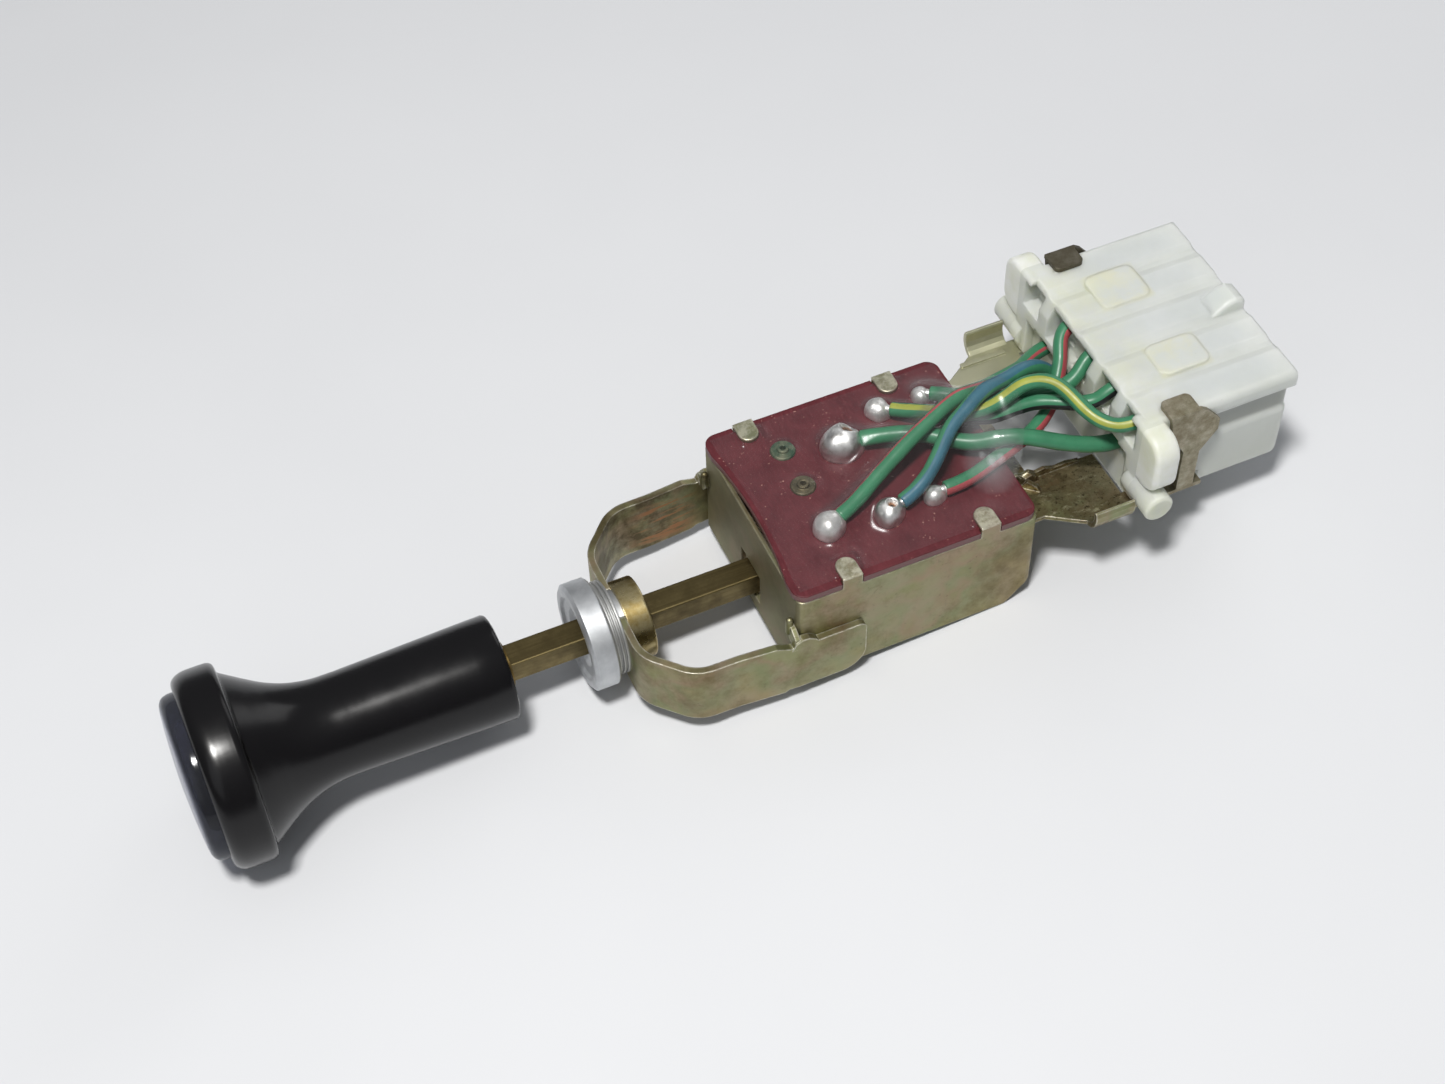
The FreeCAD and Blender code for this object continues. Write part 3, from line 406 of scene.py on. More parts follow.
def clear_plastic(name, tint=(0.95, 0.97, 0.97), rough=0.04, haze=0.05, normal_scale=None, k=1.0, metal=0.85, haze_and_highlight_spots=(), rim_tint=None):
    """Thin clear plastic: a mirror skin by Fresnel over a see-through body."""
    m = M(name)
    nt = m.nt
    tr = m.n("ShaderNodeBsdfTransparent")
    if rim_tint:
        # clear in the middle, dark at the wall
        yy, zz = m.xyz()[1], m.xyz()[2]
        rr = m.math("SQRT", m.math("ADD", m.math("MULTIPLY", yy, yy), m.math("MULTIPLY", zz, zz)))
        tint = m.mix(m.math("MULTIPLY_ADD", rr, 1 / 0.0012, -0.0118 / 0.0012, True), tint, rim_tint)
    m.put(tr.inputs[0], tint)
    fr = m.n("ShaderNodeFresnel")
    fr.inputs["IOR"].default_value = 1.5
    nrm = None
    if normal_scale:
        nrm = m.bump(m.noise(normal_scale, 2, 0.5), 0.10, 0.0002)
        m.put(fr.inputs["Normal"], nrm)
    sm = m.noise(300, 4, 0.6)
    haze_and_highlight_fac = m.math("MULTIPLY", m.ramp(sm, (0.35, 0.3), (0.7, 1.0)), haze)
    if haze_and_highlight_spots:
        # milky haze patches at the lifted rear of the film, with a painted highlight along the crease over the wires
        for cx, cy, cz, cr, ca in haze_and_highlight_spots:
            d = m.n("ShaderNodeVectorMath", operation="DISTANCE")
            m.put(d.inputs[0], m.obj)
            d.inputs[1].default_value = (cx * MM, cy * MM, cz * MM)
            q = m.math("MULTIPLY_ADD", m.math("ADD", d.outputs["Value"], m.math("MULTIPLY", m.noise(170 if cr > 3 else 500, 3, 0.6), 0.6 * cr * MM)), -1.0 / (cr * MM), 1.35, True)
            haze_and_highlight_fac = m.math("MAXIMUM", haze_and_highlight_fac, m.math("MULTIPLY", q, ca))
    fac = m.math("MULTIPLY_ADD", fr.outputs[0], 1.0 * k, haze_and_highlight_fac, True)
    mx = m.n("ShaderNodeMixShader")
    m.put(mx.inputs[0], fac)
    nt.links.new(tr.outputs[0], mx.inputs[1])
    nt.links.new(m.b.outputs[0], mx.inputs[2])
    nt.links.new(mx.outputs[0], m.out.inputs[0])
    m.set(color=(0.86, 0.88, 0.9), rough=rough, spec=1.0, metal=metal)
    if nrm is not None:
        m.set(normal=nrm)
    return m.m


def simple(name, c1, c2, scale, metal, r1, r2, bump=0.2, dist=0.00005, bev=0.0002):
    m = M(name)
    n = m.noise(scale, 4, 0.6)
    m.set(color=m.ramp(n, (0.35, c1), (0.65, c2)), metal=metal, rough=m.ramp(n, (0.3, r1), (0.7, r2)), normal=m.bump(m.noise(scale * 4, 3, 0.6), bump, dist, m.bevel(bev)))
    return m.m


def assign(ob, mat):
    if not ob.material_slots:
        ob.data.materials.append(mat)
    for s in ob.material_slots:
        s.material = mat


def new_mesh(name, verts, faces, smooth=True, mats=(), fmat=None):
    me = bpy.data.meshes.new(name)
    me.from_pydata([tuple(v) for v in verts], [], faces)
    me.update()
    for mt in mats:
        me.materials.append(mt)
    if fmat is not None:
        me.polygons.foreach_set("material_index", fmat)
    me.polygons.foreach_set("use_smooth", [smooth] * len(me.polygons))
    ob = bpy.data.objects.new(name, me)
    bpy.context.scene.collection.objects.link(ob)
    return ob


def lathe(name, prof, mat, seg=128, sharp=True):
    """Closed turned piece about the shaft axis; prof is (x, r) in mm, from axis to axis."""
    verts, faces = [], []
    rings = []
    for x, r in prof:
        if r < 1e-6:
            rings.append([len(verts)])
            verts.append((x * MM, 0, 0))
        else:
            ids = []
            for i in range(seg):
                a = 2 * math.pi * i / seg
                ids.append(len(verts))
                verts.append((x * MM, r * math.cos(a) * MM, r * math.sin(a) * MM))
            rings.append(ids)
    for a, b in zip(rings[:-1], rings[1:]):
        for i in range(seg):
            j = (i + 1) % seg
            if len(a) == 1 and len(b) == 1:
                continue
            if len(a) == 1:
                faces.append((a[0], b[j], b[i]))
            elif len(b) == 1:
                faces.append((a[i], a[j], b[0]))
            else:
                faces.append((a[i], a[j], b[j], b[i]))
    if len(rings[0]) > 1 and len(rings[-1]) > 1:
        a, b = rings[-1], rings[0]
        for i in range(seg):
            j = (i + 1) % seg
            faces.append((a[i], a[j], b[j], b[i]))
    ob = new_mesh(name, verts, faces, True, [mat])
    bm = bmesh.new()
    bm.from_mesh(ob.data)
    bmesh.ops.recalc_face_normals(bm, faces=bm.faces)
    if sharp:
        for e in bm.edges:
            if len(e.link_faces) == 2 and e.calc_face_angle() > math.radians(32):
                e.smooth = False
    bm.to_mesh(ob.data)
    bm.free()
    return ob


def catmull(pts, per=8):
    """Smooth run through profile points (centripetal enough for these)."""
    P = [np.array(p, float) for p in pts]
    P = [2 * P[0] - P[1]] + P + [2 * P[-1] - P[-2]]
    out = []
    for i in range(1, len(P) - 2):
        p0, p1, p2, p3 = P[i - 1], P[i], P[i + 1], P[i + 2]
        for k in range(per):
            t = k / per
            out.append(tuple(0.5 * ((2 * p1) + (-p0 + p2) * t + (2 * p0 - 5 * p1 + 4 * p2 - p3) * t * t + (-p0 + 3 * p1 - 3 * p2 + p3) * t ** 3)))
    out.append(tuple(P[-2]))
    return out


# ---------------------------------------------------------------- wires
WIRES = {
    "wire_red_a": (1.27, [
        (34.80, -7.80, 16.50), (39.62, -6.29, 17.36), (44.17, -4.24, 18.52), (48.73, -2.20, 19.72),
        (53.34, -0.30, 20.91), (58.05, 1.46, 21.89), (62.86, 3.12, 22.43), (67.75, 4.17, 21.30),
        (72.53, 5.59, 20.20), (77.06, 7.52, 18.78), (81.23, 10.19, 17.43), (85.87, 11.70, 16.60),
        (91.00, 11.70, 16.60),
    ]),
    "wire_blue": (1.27, [
        (44.70, -9.20, 16.50), (48.89, -8.49, 17.56), (52.69, -6.84, 18.92), (56.01, -4.31, 20.26),
        (59.23, -1.70, 21.67), (63.04, 0.10, 22.86), (67.02, 1.75, 23.52), (71.20, 2.90, 22.91),
        (75.32, 4.21, 22.18), (79.25, 4.80, 20.46), (82.55, 4.13, 17.65), (86.62, 3.90, 16.60),
        (91.00, 3.90, 16.60),
    ]),
    "wire_plain_a": (1.42, [
        (44.00, 6.80, 16.80), (47.98, 5.26, 17.57), (51.92, 3.59, 18.23), (55.71, 1.54, 18.52),
        (59.10, -1.16, 18.47), (62.60, -3.68, 18.60), (66.48, -5.38, 19.52), (70.49, -6.93, 19.38),
        (74.34, -8.62, 18.33), (78.25, -10.20, 17.34), (82.36, -11.37, 16.71), (86.67, -11.70, 16.60),
        (91.00, -11.70, 16.60),
    ]),
    "wire_yellow": (1.27, [
        (52.80, 11.40, 16.50), (55.80, 8.32, 17.38), (58.92, 5.45, 18.54), (62.07, 2.59, 19.62),
        (65.76, 0.46, 20.57), (69.38, -0.54, 22.74), (72.96, -1.11, 25.19), (76.36, -3.51, 26.20),
        (78.28, -7.33, 25.28), (79.89, -11.23, 24.07), (82.75, -14.48, 24.05), (86.60, -15.60, 25.20),
        (91.00, -15.60, 25.20),
    ]),
    "wire_black": (1.27, [
        (59.00, 2.20, 16.75), (62.00, 2.68, 16.63), (64.86, 2.26, 17.35), (67.35, 0.68, 18.05),
        (69.86, -0.54, 19.24), (72.39, -1.56, 20.59), (74.89, -2.87, 21.69), (77.35, -4.59, 22.15),
        (79.82, -6.32, 22.55), (82.43, -7.56, 23.41), (84.99, -7.81, 25.02), (87.96, -7.80, 25.20),
        (91.00, -7.80, 25.20),
    ]),
    "wire_plain_b": (1.27, [
        (60.70, 11.40, 16.50), (63.03, 9.49, 16.89), (65.43, 7.66, 17.28), (67.85, 5.89, 17.71),
        (70.24, 4.03, 18.04), (72.55, 2.30, 18.97), (74.84, 0.54, 19.93), (77.18, -0.98, 21.12),
        (79.98, -1.62, 22.01), (82.63, -1.15, 23.38), (85.00, -0.12, 24.98), (87.96, 0.00, 25.20),
        (91.00, 0.00, 25.20),
    ]),
    "wire_red_b": (1.27, [
        (52.90, -8.90, 16.50), (56.74, -8.95, 16.63), (60.55, -8.35, 16.63), (64.22, -7.19, 16.63),
        (67.90, -6.03, 16.63), (71.57, -4.86, 16.88), (75.06, -3.36, 17.45), (78.14, -1.20, 18.31),
        (80.35, 1.25, 20.24), (82.26, 3.86, 22.35), (84.01, 6.68, 24.32), (87.14, 7.80, 25.20),
        (91.00, 7.80, 25.20),
    ]),
}
SOLDER = {1: (34.8, -7.8, 2.6), 2: (44.7, -9.2, 2.5), 3: (44.0, 6.8, 3.4), 4: (52.9, -8.9, 1.8), 5: (52.8, 11.4, 2.1), 6: (60.7, 11.4, 1.6), 7: (59.0, 2.2, 1.7)}
RIVETS = {1: (35.2, 10.4), 2: (35.0, 2.2)}
ZT = 15.1


def spline(pts, n):
    """Natural cubic spline through the points, chord length parameter, n even samples (mm)."""
    P = np.array(pts, float)
    d = np.r_[0, np.cumsum(np.linalg.norm(np.diff(P, axis=0), axis=1))]
    h = np.diff(d)
    k = len(P)
    A = np.zeros((k, k))
    B = np.zeros((k, 3))
    A[0, 0] = A[-1, -1] = 1
    for i in range(1, k - 1):
        A[i, i - 1], A[i, i], A[i, i + 1] = h[i - 1], 2 * (h[i - 1] + h[i]), h[i]
        B[i] = 6 * ((P[i + 1] - P[i]) / h[i] - (P[i] - P[i - 1]) / h[i - 1])
    m = np.linalg.solve(A, B)

    def at(t):
        i = np.clip(np.searchsorted(d, t) - 1, 0, k - 2)
        a, b = (d[i + 1] - t), (t - d[i])
        hh = h[i]
        return (m[i].T * a ** 3 + m[i + 1].T * b ** 3).T / (6 * hh)[:, None] + ((P[i].T / hh - m[i].T * hh / 6) * a).T + ((P[i + 1].T / hh - m[i + 1].T * hh / 6) * b).T

    fine = at(np.linspace(0, d[-1], 1500))
    s = np.r_[0, np.cumsum(np.linalg.norm(np.diff(fine, axis=0), axis=1))]
    u = np.linspace(0, s[-1], n)
    return np.c_[[np.interp(u, s, fine[:, j]) for j in range(3)]].T, s[-1]


GREEN = pvc("pvc_green", (0.043, 0.200, 0.102), 0.78)
RED = pvc("pvc_tracer_red", (0.40, 0.075, 0.085))
BLUE = pvc("pvc_tracer_blue", (0.042, 0.145, 0.200))
YELLOW = pvc("pvc_tracer_yellow", (0.34, 0.37, 0.065))
BLACK = pvc("pvc_tracer_black", (0.012, 0.013, 0.014))
TINNED = solder_mat("tinned_strands")

# tracer colour, how wide (sides of 24), which way it faces at the start, twist along the wire in turns
TRACER = {
    "wire_red_a": (RED, 2, (-0.60, 0.50, 0.45), (0.70, -0.50, 0.40)),
    "wire_blue": (BLUE, 8, (0.80, -0.30, 0.50), (-0.30, 0.60, 0.70)),
    "wire_plain_a": (None, 0, (0, 0, 1), (0, 0, 1)),
    "wire_yellow": (YELLOW, 3, (-0.40, 0.20, 0.80), (-0.55, -0.60, 0.55)),
    "wire_black": (BLACK, 5, (0.1, -0.85, -0.10), (0.1, -0.9, -0.05)),
    "wire_plain_b": (None, 0, (0, 0, 1), (0, 0, 1)),
    "wire_red_b": (RED, 5, (0.60, -0.70, 0.10), (0.50, -0.70, 0.50)),
}
CENTRES = {}


def make_wire(name, r, pts, strip_mm):
    path, length = spline(pts, 150)
    CENTRES[name] = (path, r)
    tracer, wide, ref_a, ref_b = TRACER[name]
    N = 28
    tang = np.gradient(path, axis=0)
    tang /= np.linalg.norm(tang, axis=1)[:, None]
    ref_a, ref_b = np.array(ref_a, float), np.array(ref_b, float)
    ref = ref_a
    u = ref - tang[0] * (ref @ tang[0])
    u /= np.linalg.norm(u)
    frames = []
    for i in range(len(path)):
        t = tang[i]
        f = i / (len(path) - 1.0)
        ref = ref_a * (1 - f) + ref_b * f
        # mostly parallel transport, drawn gently back to the reference side
        u = u - t * (u @ t)
        u /= np.linalg.norm(u)
        w = ref - t * (ref @ t)
        if np.linalg.norm(w) > 0.2:
            w /= np.linalg.norm(w)
            u = u * 0.93 + w * 0.07
            u -= t * (u @ t)
            u /= np.linalg.norm(u)
        frames.append((t, u.copy(), np.cross(t, u)))
    verts, faces, fm = [], [], []
    s = np.linspace(0, length, len(path))
    first = int(np.searchsorted(s, strip_mm))

    def ring(c, f, rad, ang=0.0):
        t, a, b = f
        base = len(verts)
        for k in range(N):
            q = 2 * math.pi * k / N + ang
            v = c + (a * math.cos(q) + b * math.sin(q)) * rad
            verts.append(tuple(v * MM))
        return base

    def bridge(a, b, mat_of):
        for k in range(N):
            j = (k + 1) % N
            faces.append((a + k, a + j, b + j, b + k))
            fm.append(mat_of(k))

    half = wide / 2.0

    def ins(k):
        kk = k if k < N / 2 else k - N
        return 1 if tracer and -half <= kk + 0.5 <= half else 0

    # insulation, with rounded cut ends
    def wob(i):
        return 1.0 + 0.018 * math.sin(i * 0.21 + r * 9) + 0.012 * math.sin(i * 0.57 + len(name))

    rr = r * 0.985
    prev = None
    c0 = path[first]
    for dx, k in ((0.0, 0.62), (0.0, 0.86), (0.10, 0.97)):
        b = ring(c0 + frames[first][0] * dx, frames[first], rr * k, 0)
        if prev is None:
            cc = len(verts)
            verts.append(tuple(c0 * MM))
            for k2 in range(N):
                faces.append((cc, b + (k2 + 1) % N, b + k2))
                fm.append(2)
        else:
            bridge(prev, b, ins)
        prev = b
    for i in range(first + 1, len(path)):
        b = ring(path[i], frames[i], rr * wob(i) * 0.985, 0.0)
        bridge(prev, b, ins)
        prev = b
    cc = len(verts)
    verts.append(tuple(path[-1] * MM))
    for k2 in range(N):
        faces.append((cc, prev + k2, prev + (k2 + 1) % N))
        fm.append(2)
    # bare tinned strands between the solder and the insulation
    prev = None
    for i in range(0, first + 2):
        k = 0.52 + 0.05 * math.sin(i * 1.7)
        b = ring(path[i], frames[i], r * k, i * 0.05)
        if prev is not None:
            bridge(prev, b, lambda k: 2)
        prev = b
    ob = new_mesh(name + "_pvc", verts, faces, True, [GREEN, tracer or GREEN, TINNED], fm)
    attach(ob, "switch_body")
    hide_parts(name)
    return ob


STRIP = {"wire_red_a": 2.0, "wire_blue": 2.2, "wire_plain_a": 2.9, "wire_yellow": 2.2, "wire_black": 1.7, "wire_plain_b": 1.6, "wire_red_b": 1.6}
for nm, (r, pts) in WIRES.items():
    make_wire(nm, r, pts, STRIP[nm])


# ---------------------------------------------------------------- solder joints
def blob(k, x, y, r, lean, hole=None):
    """A solder joint: a slumped dome with a skirt, a wire fillet, and a burnt pit where there is one."""
    seg, rows = 56, 26
    top = ZT + 0.28 * r + r * 1.03
    ca = math.atan2(lean[1], lean[0])
    verts, faces, rings = [], [], []
    rng = random.Random(k)
    ph = [rng.uniform(0, 6.28) for _ in range(6)]
    for j in range(rows + 1):
        f = j / rows
        ids = []
        for i in range(seg):
            a = 2 * math.pi * i / seg
            th = f * math.pi / 2
            rad = r * math.sin(th) ** 0.86
            z = ZT + (top - ZT) * (math.cos(th) ** 0.80)
            lump = 1 + 0.035 * math.sin(2 * a + ph[0]) + 0.03 * math.sin(3 * a + ph[1] + 2 * f) + 0.015 * math.sin(5 * a + ph[2])
            # fillet drawn out along the wire
            d = math.cos(a - ca)
            pull = 0.16 * r * max(0, d) ** 6 * math.sin(th) ** 3
            rr = rad * lump + pull
            zz = z + 0.02 * r * math.sin(3 * a + ph[3]) * math.sin(2 * th)
            px, py = x + rr * math.cos(a), y + rr * math.sin(a)
            if hole:
                hx, hy, hr, hd = hole
                q = math.hypot(px - x - hx, py - y - hy) / hr
                zz -= hd * math.exp(-(q ** 4)) - 0.10 * math.exp(-((q - 1.35) / 0.3) ** 2)
            ids.append(len(verts))
            verts.append((px * MM, py * MM, max(zz, ZT + 0.005) * MM))
        rings.append(ids)
    for a, b in zip(rings[:-1], rings[1:]):
        for i in range(seg):
            j = (i + 1) % seg
            faces.append((a[i], b[i], b[j], a[j]))
    faces.append(tuple(reversed(rings[-1])))
    mat = solder_mat("solder_joint_%d" % k, (x + hole[0], y + hole[1], top, hole[2] * 1.0) if hole else None)
    ob = new_mesh("solder_bead_%d" % k, verts, faces, True, [mat])
    bm = bmesh.new()
    bm.from_mesh(ob.data)
    bmesh.ops.remove_doubles(bm, verts=bm.verts, dist=1e-7)
    bmesh.ops.recalc_face_normals(bm, faces=bm.faces)
    bm.to_mesh(ob.data)
    bm.free()
    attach(ob, "switch_body")
    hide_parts("solder_%d" % k)
    return ob


WIRE_OF = {1: "wire_red_a", 2: "wire_blue", 3: "wire_plain_a", 4: "wire_red_b", 5: "wire_yellow", 6: "wire_plain_b", 7: "wire_black"}
HOLES = {2: (0.45, 0.0, 0.75, 1.0), 3: (1.5, 0.9, 1.15, 1.1)}
for k, (x, y, r) in SOLDER.items():
    p = CENTRES[WIRE_OF[k]][0]
    v = p[12] - p[0]
    blob(k, x, y, r, (v[0], v[1]), HOLES.get(k))


# ---------------------------------------------------------------- draped clear film
def make_film():
    x0, x1, y0, y1, st = 25.2, 80.5, -17.3, 17.3, 0.28
    xs = np.arange(x0, x1 + st / 2, st)
    ys = np.arange(y0, y1 + st / 2, st)
    X, Y = np.meshgrid(xs, ys, indexing="ij")
    base = ZT + 0.10
    on = X < 66.5
    L = np.where(on, base, 8.0)
    # what it lies over
    for k, (x, y, r) in SOLDER.items():
        d = np.hypot(X - x, Y - y)
        top = ZT + 0.28 * r + r * 1.03 + 0.12
        hh = ZT + (top - ZT) * np.sqrt(np.clip(1 - (d / (r + 0.25)) ** 2, 0, 1))
        L = np.maximum(L, np.where(d < r + 0.25, hh, 0))
    for k, (x, y) in RIVETS.items():
        d = np.hypot(X - x, Y - y)
        L = np.maximum(L, np.where(d < 2.7, ZT + 0.12 + 0.95 * np.clip(1 - (d / 2.7) ** 2, 0, 1) ** 0.8, 0))
    for tx, s in [(33.9, -1), (58.2, -1), (31.5, 1), (56.9, 1)]:
        inside = (np.abs(X - tx) < 1.95) & (Y * s > 13.9)
        L = np.maximum(L, np.where(inside, 15.9 + 0.12, 0))
    for nm, (path, r) in CENTRES.items():
        p = path[path[:, 0] < 82]
        for i in range(0, len(p), 2):
            d2 = (X - p[i, 0]) ** 2 + (Y - p[i, 1]) ** 2
            rr = r + 0.16
            L = np.maximum(L, np.where(d2 < rr * rr, p[i, 2] + np.sqrt(np.clip(rr * rr - d2, 0, None)), 0))
    H = L.copy()
    rng = np.random.RandomState(3)
    sag = np.where(on, np.where(X > 60, 0.0012, 0.0065), 0.0004)
    for it in range(520):
        A = H.copy()
        A[1:-1, :] = (H[2:, :] + H[:-2, :]) / 2
        B = H.copy()
        B[:, 1:-1] = (H[:, 2:] + H[:, :-2]) / 2
        A[-1, :] = H[-2, :]
        S = (A + B) / 2 - sag
        S[0, :] = base
        S[:, 0] = S[:, -1] = base
        H = np.maximum(L, S)
    # soft wrinkles on the lifted part
    lift = np.clip((H - base) / 3.0, 0, 1)
    W = 0.10 * np.sin(X * 0.55 + 1.3 * np.sin(Y * 0.35)) + 0.07 * np.sin(Y * 0.7 + X * 0.3)
    H = np.maximum(H + lift * W, L)
    # round off the kinks left by the pieces below
    for it in range(7):
        G = H.copy()
        G[1:-1, 1:-1] = (H[2:, 1:-1] + H[:-2, 1:-1] + H[1:-1, 2:] + H[1:-1, :-2]) / 8 + H[1:-1, 1:-1] / 2
        H = np.maximum(G, L - 0.02)
    # rear edge: a flared lip over the bundle, cut back at the sides
    def rear(y):
        a = 66.2
        if -11.5 < y < 9.0:
            t = (y + 11.5) / 20.5
            a += 5.4 * math.sin(math.pi * t) ** 0.8 * (1.0 - 0.25 * t)
        return a
    RE = np.array([rear(v) for v in ys])
    # front edge follows the hollow front of the board
    FE = np.array([25.3 + 0.95 * max(0, 1 - (v / 14.5) ** 2) for v in ys])
    verts, idx = [], {}
    nx = len(xs)
    for j in range(len(ys)):
        lo, hi = FE[j], RE[j]
        for i in range(nx):
            if xs[i] < lo - st or xs[i] > hi + st:
                continue
            x = min(max(xs[i], lo), hi)
            idx[(i, j)] = len(verts)
            h = float(np.interp(x, xs, H[:, j]))
            if x > 66.6:
                h = max(h, 15.6)
            verts.append((x * MM, ys[j] * MM, h * MM))
    faces = []
    for (i, j) in list(idx):
        q = [(i, j), (i + 1, j), (i + 1, j + 1), (i, j + 1)]
        if all(t in idx for t in q):
            faces.append(tuple(idx[t] for t in q))
    # the wide patches are milky haze that also lightens the crease; the row of small bright spots is a painted
    # highlight along the crease
    mat = clear_plastic("clear_film", (0.985, 0.985, 0.985), 0.17, 0.010, 260, 0.42, 0.32,
                        ((63.0, -8.0, 16.5, 5.0, 0.24), (64.0, -2.5, 20.0, 4.0, 0.30), (66.5, -6.0, 18.0, 4.5, 0.30), (62.0, 12.5, 15.5, 4.0, 0.12),
                         (63.6, -0.8, 20.5, 0.9, 0.75), (63.0, -2.3, 20.2, 0.9, 0.80), (62.7, -3.7, 19.8, 1.0, 0.85), (62.3, -5.2, 19.0, 1.1, 0.85), (62.3, -6.6, 18.0, 1.5, 0.90), (63.6, -7.6, 17.5, 1.8, 0.95), (64.9, -7.9, 17.7, 1.5, 0.85)))
    ob = new_mesh("insulating_film_drape", verts, faces, True, [mat])
    sub = ob.modifiers.new("sub", "SUBSURF")
    sub.levels = sub.render_levels = 1
    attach(ob, "switch_body")
    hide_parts("insulating_film")
    return ob


film = make_film()

# ---------------------------------------------------------------- knob
K = -68.6
BLACKM = knob_black()


def knob():
    pr = [(-21.3, 0.0), (-21.3, 4.9)]
    pr += catmull([(-19.5, 5.0), (-19.18, 5.35), (-19.1, 5.9)], 4)
    pr += [(-19.1, 7.2)]
    pr += catmull([(-19.12, 8.1), (-19.34, 8.58), (-19.8, 8.8)], 5)
    pr += [(-24.0, 8.74), (-30.0, 8.60), (-38.0, 8.42)]
    pr += catmull([(-44.5, 8.28), (-48.0, 8.35), (-50.8, 8.76), (-53.2, 9.46), (-55.4, 10.44), (-57.4, 11.62), (-59.2, 12.80), (-60.5, 13.65), (-61.1, 14.05)], 7)
    pr += catmull([(-61.32, 14.25), (-61.42, 14.65), (-61.48, 15.15), (-61.66, 15.68), (-62.1, 16.04)], 4)
    pr += catmull([(-62.6, 16.17), (-63.6, 16.2), (-65.0, 16.2), (-66.2, 16.15), (-67.2, 15.92), (-68.0, 15.46), (-68.45, 14.86), (-68.6, 14.25)], 6)
    pr += [(-68.6, 13.95), (-68.5, 13.72), (-68.2, 13.66), (K + 2.5, 13.65), (K + 2.5, 0.0)]
    ob = lathe("knob_shell", pr, BLACKM, 160)
    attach(ob, "plunger")
    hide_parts("knob_body")
    # clear lens: cylinder wall with a shallow dome
    lp = [(K + 2.05, 0.0), (K + 2.05, 13.5), (K + 1.9, 13.6), (K - 0.5, 13.6)]
    lp += catmull([(-69.6, 13.56), (-70.4, 13.30), (-70.95, 12.75), (-71.3, 11.9), (-71.52, 10.2), (-71.73, 7.4), (-71.88, 4.4), (-71.98, 1.4)], 6)
    lp += [(-72.0, 0.0)]
    lens = lathe("knob_lens_dome", lp, clear_plastic("clear_lens", (0.70, 0.71, 0.78), 0.12, 0.012, None, 0.60, 0.55, (), (0.14, 0.145, 0.19)), 128)
    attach(lens, "plunger")
    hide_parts("knob_lens")


knob()


def symbol_disc():
    m = M("symbol_disc")
    Y, Z = m.xyz()[1], m.xyz()[2]
    r = m.math("SQRT", m.math("ADD", m.math("MULTIPLY", Y, Y), m.math("MULTIPLY", Z, Z)))
    n = m.noise(260, 4, 0.6)
    ring = m.band(r, 0.0104, 0.0121, 0.0002)
    inner = m.band(r, -0.001, 0.0088, 0.0002)
    c = m.mix(ring, (0.012, 0.012, 0.015), (0.45, 0.46, 0.48))
    c = m.mix(m.math("MULTIPLY", inner, 0.8), c, m.ramp(n, (0.40, (0.020, 0.020, 0.026)), (0.70, (0.060, 0.062, 0.075))))
    m.set(color=c, metal=m.math("MULTIPLY", ring, 0.9), rough=m.ramp(n, (0.3, 0.25), (0.7, 0.42)), normal=m.bump(m.noise(1200, 3, 0.6), 0.2, 0.00004))
    return m.m


# ---------------------------------------------------------------- CAD nodes: materials and softened edges
def soften(node, width, angle=28, segs=2):
    ob = NODES[node]
    w = ob.modifiers.new("weld", "WELD")
    w.merge_threshold = 2e-6
    d = ob.modifiers.new("flat", "DECIMATE")
    d.decimate_type = "DISSOLVE"
    d.angle_limit = math.radians(0.6)
    b = ob.modifiers.new("bevel", "BEVEL")
    b.limit_method = "ANGLE"
    b.angle_limit = math.radians(angle)
    b.width = width * MM
    b.segments = segs
    b.use_clamp_overlap = True
    b.harden_normals = False
    b.loop_slide = True
    return ob


MATS = {
    "yoke": zinc("zinc_yoke", rust=True),
    "case": zinc("zinc_case", wall=True),
    "tail_bracket": zinc("zinc_bracket", clips=True),
    "shaft": brass_bar(),
    "ferrule_nut": turned_aluminium(),
    "panel_bush": bush_gold(),
    "terminal_board": board_mat(),
    "connector_housing": nylon(),
    "knob_symbol_disc": symbol_disc(),
    "slider": simple("slider_moulding", (0.42, 0.36, 0.25), (0.52, 0.46, 0.34), 200, 0.0, 0.45, 0.6),
    "slider_pin": simple("steel_pin", (0.40, 0.40, 0.41), (0.52, 0.52, 0.53), 400, 1.0, 0.25, 0.4),
}
INSERT = simple("insert_brass", (0.14, 0.095, 0.03), (0.26, 0.18, 0.07), 500, 1.0, 0.35, 0.5)
CONTACT = simple("contact_brass", (0.58, 0.42, 0.17), (0.70, 0.54, 0.26), 350, 1.0, 0.25, 0.38)
SPRING = simple("spring_wire", (0.42, 0.42, 0.43), (0.56, 0.56, 0.57), 500, 1.0, 0.25, 0.35)
RIVET = simple("dull_rivet", (0.085, 0.075, 0.045), (0.21, 0.18, 0.11), 500, 0.8, 0.4, 0.6, 0.4, 0.00008)
RIVET_G = simple("green_rivet", (0.05, 0.10, 0.06), (0.19, 0.20, 0.13), 600, 0.6, 0.4, 0.6, 0.4, 0.00008)
for nm, ob in NODES.items():
    if nm in MATS:
        assign(ob, MATS[nm])
    elif nm == "knob_insert":
        assign(ob, INSERT)
    elif nm.startswith(("contact_plate", "terminal_", "socket_")):
        assign(ob, CONTACT)
    elif nm.startswith("contact_spring"):
        assign(ob, SPRING)
    elif nm == "board_rivet_1":
        assign(ob, RIVET_G)
    elif nm.startswith("board_rivet"):
        assign(ob, RIVET)
for nm, w in (("yoke", 0.25), ("case", 0.18), ("tail_bracket", 0.2), ("connector_housing", 0.30), ("terminal_board", 0.15)):
    soften(nm, w)

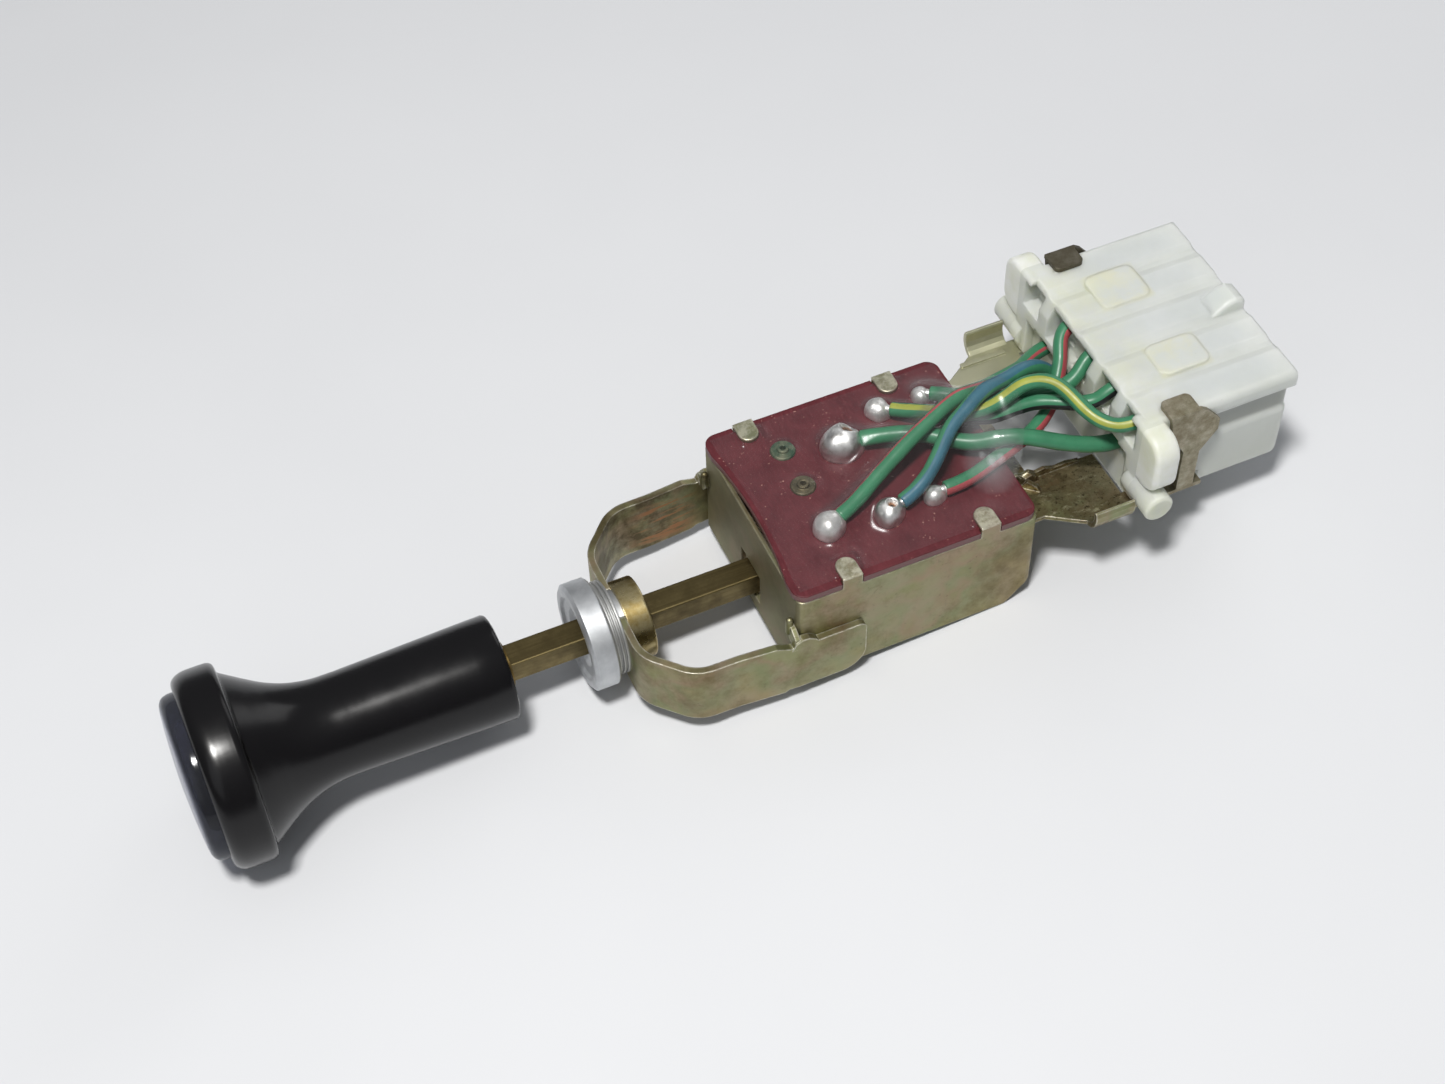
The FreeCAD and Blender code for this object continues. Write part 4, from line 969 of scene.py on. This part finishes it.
# ---------------------------------------------------------------- floor and light
def floor():
    # the switch lies on the knob rim and the lower rear edge of the case
    xa, za, xb, zb = -62.4, -16.2, 62.2, -6.3
    ang = math.atan2(zb - za, xb - xa)
    s = 3.0
    verts, faces = [], []
    n = 2
    for i in range(n):
        for j in range(n):
            u = (i / (n - 1) - 0.5) * 2 * s
            v = (j / (n - 1) - 0.5) * 2 * s
            verts.append((xa * MM + u * math.cos(ang), v, za * MM - 0.00003 + u * math.sin(ang)))
    faces = [(0, 2, 3, 1)]
    m = M("floor_pale")
    n1 = m.noise(6, 4, 0.6)
    m.set(color=m.ramp(n1, (0.3, (0.60, 0.61, 0.63)), (0.7, (0.63, 0.64, 0.66))), rough=0.75, spec=0.2, normal=m.bump(m.noise(900, 3, 0.6), 0.05, 0.00005))
    ob = new_mesh("floor", verts, faces, False, [m.m])


floor()


def area(name, loc, target, size, power, color=(1, 1, 1), size_y=None):
    l = bpy.data.lights.new(name, "AREA")
    l.shape = "RECTANGLE"
    l.size = size
    l.size_y = size_y or size
    l.energy = power
    l.color = color
    ob = bpy.data.objects.new(name, l)
    bpy.context.scene.collection.objects.link(ob)
    ob.location = loc
    ob.rotation_euler = (Vector(target) - Vector(loc)).to_track_quat("-Z", "Y").to_euler()
    return ob


c = (0.02, 0, 0)
area("key", (-0.155, -0.20, 0.71), c, 0.10, 6.2, (1.0, 0.985, 0.96))
area("fill", (-0.45, -0.45, 0.45), c, 0.5, 0.35, (0.93, 0.96, 1.0))
area("rim", (0.50, 0.35, 0.40), c, 0.35, 0.5, (1.0, 1.0, 1.0))

world = bpy.data.worlds.new("studio")
bpy.context.scene.world = world
world.use_nodes = True
wn = world.node_tree
wn.nodes.clear()
wo = wn.nodes.new("ShaderNodeOutputWorld")
bg = wn.nodes.new("ShaderNodeBackground")
tc = wn.nodes.new("ShaderNodeTexCoord")
sp = wn.nodes.new("ShaderNodeSeparateXYZ")
rp = wn.nodes.new("ShaderNodeValToRGB")
mp = wn.nodes.new("ShaderNodeMapRange")
wn.links.new(tc.outputs["Generated"], sp.inputs[0])
wn.links.new(sp.outputs[2], mp.inputs[0])
mp.inputs[1].default_value = -1
mp.inputs[2].default_value = 1
wn.links.new(mp.outputs[0], rp.inputs[0])
e = rp.color_ramp.elements
e[0].position, e[0].color = 0.45, (0.30, 0.30, 0.31, 1)
e[1].position, e[1].color = 1.0, (0.95, 0.97, 1.0, 1)
k = e.new(0.62)
k.color = (0.45, 0.46, 0.48, 1)
wn.links.new(rp.outputs[0], bg.inputs[0])
bg.inputs[1].default_value = 0.34
wn.links.new(bg.outputs[0], wo.inputs[0])
bpy.context.scene.view_settings.view_transform = "Standard"
